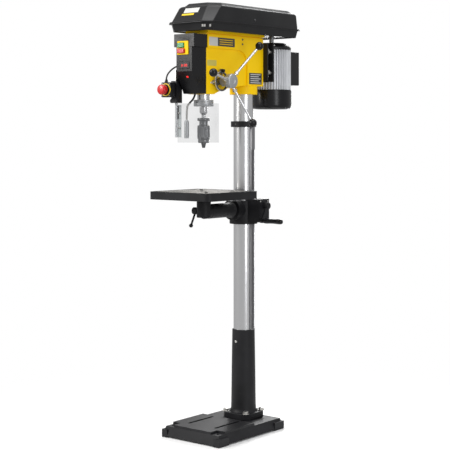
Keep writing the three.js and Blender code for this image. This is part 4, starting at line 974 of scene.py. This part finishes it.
def lidShell():
    look = {"panel": 1.6803, "round": 0.010, "wall": 0.0025, "corner": 0.010}
    low, top, panel, wall = cover["rimZ"], cover["topZ"], look["panel"], look["wall"]
    bend = np.linspace(0, np.pi / 2, 7)
    outside = [(-0.0038, low), (-0.0044, low + 0.0006), (-0.0044, low + 0.0028), (-0.0036, low + 0.0036),
               (-0.0006, low + 0.0040), (0.0006, low + 0.0052)]
    outside += [(look["round"] * (1 - math.cos(a)), top - look["round"] * (1 - math.sin(a))) for a in bend]
    outside += [(0.0113, top), (0.0124, top + 0.0006), (0.0226, panel - 0.0014), (0.0240, panel - 0.0003),
                (0.0262, panel)]
    inside = [(0.0262, panel - wall), (0.0145, top - wall), (look["round"], top - wall),
              (wall, top - look["round"] - 0.001),
              (wall, low)]
    rings = []
    for inset, z in inside + outside:
        plan = cornersRounded(coverPlan(z, inset), look["corner"])
        rings.append(np.column_stack([plan, np.full(len(plan), z)]))
    return ringed("beltLidShell", rings, "blackSheet", 40)


def makeBeltCover():
    look = {"hinges": (-0.2, 0.0, 0.16), "hingeZ": 1.5945, "hingeR": 0.0032, "hingeHalf": 0.02,
            "latches": (0.12, 0.30, 0.78), "latchZ": (1.5815, 1.5915), "latchHalf": 0.003}
    pan = castCopy("beltPan", "belt_pan", "blackSheet", 0.0012, 2)
    hingeX = spans("belt_pan")[0][0] + 0.0005
    parts = [pan]
    hinge = [(look["hingeR"], -look["hingeHalf"]), (look["hingeR"], look["hingeHalf"])]
    for y in look["hinges"]:
        at = (hingeX, y, look["hingeZ"])
        parts.append(turned(f"coverHinge{y}", hinge, at, backward, "blackSheet", 24, 0.0004))
    # small latches on the right front corner
    lean = np.array([math.sqrt(0.5), math.sqrt(0.5)])
    out = np.array([math.sqrt(0.5), -math.sqrt(0.5)])
    for k, share in enumerate(look["latches"]):
        spot = np.array([0.0720, -0.3485]) + share * cover["corner"]
        corners = ((-1, -0.001), (1, -0.001), (1, 0.0022), (-1, 0.0022))
        outline = [spot + side * look["latchHalf"] * lean + push * out for side, push in corners]
        parts.append(prism(f"coverLatch{k}", outline, look["latchZ"], "Z", "zincSteel", 0.0006, 2))
    stand(joined("beltPan", parts), "belt_pan", "root")
    lid = lidShell()
    parts = [lid, screw("lidScrew", (0.1056, -0.060, 1.624), rightward, 0.0045, "darkSteel")]
    # plain badge on the sloping front
    slope = {"foot": (-0.3524, cover["rimZ"]), "lean": 0.0464 / 0.066}
    for k, (x, z, finish) in enumerate([((-0.036, 0.036), (1.640, 1.659), "paleLabel"),
                                        ((-0.040, 0.020), (1.630, 1.637), "signYellow")]):
        outline = [(slope["foot"][0] + (h - slope["foot"][1]) * slope["lean"] - push, h)
                   for h, push in ((z[0], -0.001), (z[0], 0.0006), (z[1], 0.0006), (z[1], -0.001))]
        parts.append(prism(f"lidBadge{k}", outline, x, "X", finish, 0.0002, 2))
    stand(joined("beltLid", parts), "belt_cover_lid", "lid_body")


def makeDrive():
    look = {"low": 1.604, "step": 0.014, "groove": 0.009, "deep": 0.006, "edge": 0.002}
    low, step, edge = look["low"], look["step"], look["edge"]
    lip = (step - look["groove"]) / 2
    # each pulley: its body, the radius of each step, its hub's radius and how far the hub hangs below
    drives = {
        "spindle_pulley": ("spindle_pulley_body", (0.066, 0.060, 0.054, 0.048), 0.015, 0.060),
        "idler_pulley": ("idler_body", (0.044, 0.050, 0.056, 0.062), 0.02, edge),
        "motor_pulley": ("motor_rotor_body", (0.035, 0.029, 0.023, 0.017), 0.0095, 0.094),
    }
    for node, (body, radii, hubRadius, tail) in drives.items():
        centre = middleOf(node)
        profile = [(hubRadius, low - tail)]
        if tail > edge:
            profile.append((hubRadius, low - edge))
        for k, radius in enumerate(radii):
            z = low + k * step
            outer, inner = radius + edge, radius - look["deep"]
            profile += [(outer, z - (0 if k else edge)), (outer, z + lip), (inner, z + lip + edge),
                        (inner, z + step - lip - edge), (outer, z + step - lip), (outer, z + step)]
        at = (centre[0], centre[1], 0)
        piece = turned(node + "Turned", profile, at, upward, "castAluminium", 72, 0.0004)
        stand(piece, node, body)
    casting("frontBelt", "front_belt", "rubber", "root", "black_rubber", 0.0012, 2)
    casting("rearBelt", "rear_belt", "rubber", "root", "black_rubber", 0.0012, 2)


# ---- motor ----
def makeMotor():
    look = {"fins": 44, "outer": 0.080, "root": 0.0725, "low": 1.358, "top": 1.523, "centreY": 0.187,
            "barX": 0.062, "barZ": (1.424, 1.508), "boltX": 0.045, "boltZ": (1.409, 1.52), "bellBolt": 0.052,
            "footZ": (1.416, 1.498), "fanRings": (0.018, 0.027, 0.036, 0.045, 0.054, 0.063)}
    low, high = spans("motor_plate")
    slides = [castCopy("motorSlidePlate", "motor_slide", "blackIron", 0.0012, 2)]
    parts = [castCopy("motorPlateSheet", "motor_plate", "blackIron", 0.0012, 3)]
    for x, z in product((-look["barX"], look["barX"]), look["barZ"]):
        slides.append(turned(f"slideBar{x}{z}", [(0.0072, 0), (0.0072, 0.0465)],
                             (x, 0.0702, z), backward, "zincSteel", 40, 0.0005))
        slides.append(turned(f"slideNut{x}{z}", [(0.0125, 0), (0.0125, 0.008)],
                             (x, 0.0702, z), backward, "zincSteel", 6, 0))
    stand(joined("motorSlide", slides), "motor_slide", "root")
    for x, z in product((-look["boltX"], look["boltX"]), look["boltZ"]):
        parts += bolt(f"motorBolt{x}{z}", (x, low[1], z), forward, 0.011, 0.006)
    stand(joined("motorPlate", parts), "motor_plate", "motor_body_group")
    centre = np.array([0, look["centreY"]])
    # finned body: the outline goes in and out once for each fin
    turn = fullTurn(look["fins"] * 8)
    wave = np.tile([0, 0, 0, 0.85, 1, 1, 0.85, 0], look["fins"])
    reach = look["root"] + (look["outer"] - look["root"]) * wave
    outline = np.stack([reach * np.cos(turn), reach * np.sin(turn)], -1) + centre
    fins = prism("motorFins", outline, (look["low"], look["top"]), "Z", "motorSilver", 0)
    top = look["top"]
    bell = turned("motorBell", [(0.080, top - 0.002), (0.0805, top + 0.002), (0.0805, top + 0.008),
                                (0.078, top + 0.012), (0.066, top + 0.020), (0.060, top + 0.0265),
                                (0.024, top + 0.0268),
                                (0.022, top + 0.0245)],
                  (centre[0], centre[1], 0), upward, "blackSheet", 96, 0.0008)
    parts = [fins, bell]
    for x, y in product((-1, 1), repeat=2):
        at = (centre[0] + x * look["bellBolt"], centre[1] + y * look["bellBolt"], top + 0.012)
        parts += bolt(f"bellBolt{x}{y}", at, upward, 0.008, 0.004)
    for z in look["footZ"]:
        parts.append(slab(f"motorFoot{z}", (-0.05, 0.1055, z - 0.012), (0.05, 0.13, z + 0.012),
                          "motorSilver", 0.002))
    stand(joined("motorBody", parts), "motor_body", "motor_body_group")
    low, high = spans("motor_fan_cover")
    profile = [(0, low[2] + 0.0008), (0.067, low[2]), (0.0755, low[2] + 0.0016), (0.0812, low[2] + 0.0075),
               (0.0829, low[2] + 0.015), (0.0829, high[2] - 0.0006), (0.0815, high[2])]
    cover = turned("fanCoverShell", profile, (centre[0], centre[1], 0), upward, "glossBlack", 112, 0.001)
    rings = []
    for k, radius in enumerate(look["fanRings"]):
        turn = np.linspace(0, 2 * np.pi, 65)
        path = np.stack([centre[0] + radius * np.cos(turn), centre[1] + radius * np.sin(turn),
                         0 * turn + low[2] + 0.0006], -1)
        rings.append(tube(f"fanRing{k}", path, 0.0011, "rubber", 8))
    stand(joined("fanCover", [cover] + rings), "motor_fan_cover", "motor_body_group")
    low, high = spans("terminal_box")
    body = slab("terminalCase", (low[0], 0.2645, 1.379), (high[0], high[1] - 0.009, high[2]),
                "blackPlastic", 0.004, 4)
    lid = slab("terminalLid", (low[0], high[1] - 0.0085, 1.379), (high[0], high[1], high[2]),
               "blackPlastic", 0.004, 4)
    neck = slab("terminalNeck", (low[0] + 0.012, 0.256, 1.395), (high[0] - 0.012, 0.27, high[2] - 0.016),
                "blackPlastic", 0.001)
    gland = turned("terminalGland", [(0.0065, 1.3622), (0.0075, 1.366), (0.0098, 1.367),
                                     (0.0098, 1.3795)], (0, 0.293, 0), upward, "blackPlastic", 36, 0.0005)
    parts = [body, lid, neck, gland]
    for x, z in product((low[0] + 0.008, high[0] - 0.008), (1.388, high[2] - 0.009)):
        parts.append(screw(f"lidScrew{x:.3f}{z:.3f}", (x, high[1] - 0.0006, z), backward, 0.0032))
    stand(joined("terminalBox", parts), "terminal_box", "motor_body_group")


makeGuard()
makeEmergencyStop()
makeLamp()
makeBeltCover()
makeDrive()
makeMotor()
print("guard, lamp, cover and motor made")


# ---- floor and light ----
def makeStudio():
    look = {"reach": 1.5, "solid": 0.45, "clear": 1.35}
    turn = fullTurn(64)
    points = np.column_stack([look["reach"] * np.cos(turn), look["reach"] * np.sin(turn), 0 * turn])
    # a pale floor that fades out into the white room
    finish = Finish("studioFloor")
    place = finish.node("TexCoord", output=3)
    distance = finish.node("VectorMath", {"operation": "LENGTH"}, {0: place}, output=1)
    fade = finish.node("MapRange", {"interpolation_type": "SMOOTHSTEP"},
                       {"Value": distance, "From Min": look["solid"], "From Max": look["clear"],
                        "To Min": 1.0, "To Max": 0.0})
    soft = finish.ramp(finish.noise(finish.coords(), 1.2, 2), 0.2, 0.9)
    finish.set(Base_Color=finish.mixColour(soft * 0.5, (0.94, 0.94, 0.94), (0.92, 0.92, 0.92)), Roughness=0.6,
               Alpha=fade)
    finishes["studioFloor"] = finish.material
    finishMesh("studioFloor", points, [list(range(len(turn)))], "studioFloor", 80)
    bpy.context.scene.view_settings.view_transform = "Standard"
    # the room is white to the eye and dimmer as a light
    world = bpy.data.worlds.new("studio")
    bpy.context.scene.world = world
    world.use_nodes = True
    tree = world.node_tree
    background = tree.nodes["Background"]
    background.inputs["Color"].default_value = (1.0, 1.0, 1.0, 1)
    sight = tree.nodes.new("ShaderNodeLightPath")
    strength = tree.nodes.new("ShaderNodeMapRange")
    strength.inputs["To Min"].default_value, strength.inputs["To Max"].default_value = 0.5, 1.0
    tree.links.new(sight.outputs["Is Camera Ray"], strength.inputs["Value"])
    tree.links.new(strength.outputs["Result"], background.inputs["Strength"])
    lights = [
        ("keyLight", (-2.2, -3.4, 3.0), (0, -0.15, 1.0), (1.2, 2.6), 150, (1.0, 0.99, 0.97)),
        ("fillLight", (3.6, -1.4, 1.8), (0, 0, 1.0), (0.9, 3.0), 46, (0.97, 0.98, 1.0)),
        ("topLight", (0.4, -0.3, 4.0), (0, -0.1, 0), (2.4, 2.4), 62, (1, 1, 1)),
        ("rimLight", (-1.6, 2.8, 2.2), (0, 0, 1.2), (0.8, 2.6), 60, (1, 1, 1)),
    ]
    for name, place, target, size, power, colour in lights:
        lamp = bpy.data.lights.new(name, "AREA")
        lamp.shape, lamp.size, lamp.size_y = "RECTANGLE", *size
        lamp.energy, lamp.color = power, colour
        holder = placed(name, lamp)
        holder.location = place
        toward = Vector(target) - Vector(place)
        holder.rotation_euler = toward.to_track_quat("-Z", "Y").to_euler()


makeStudio()
print("studio made")
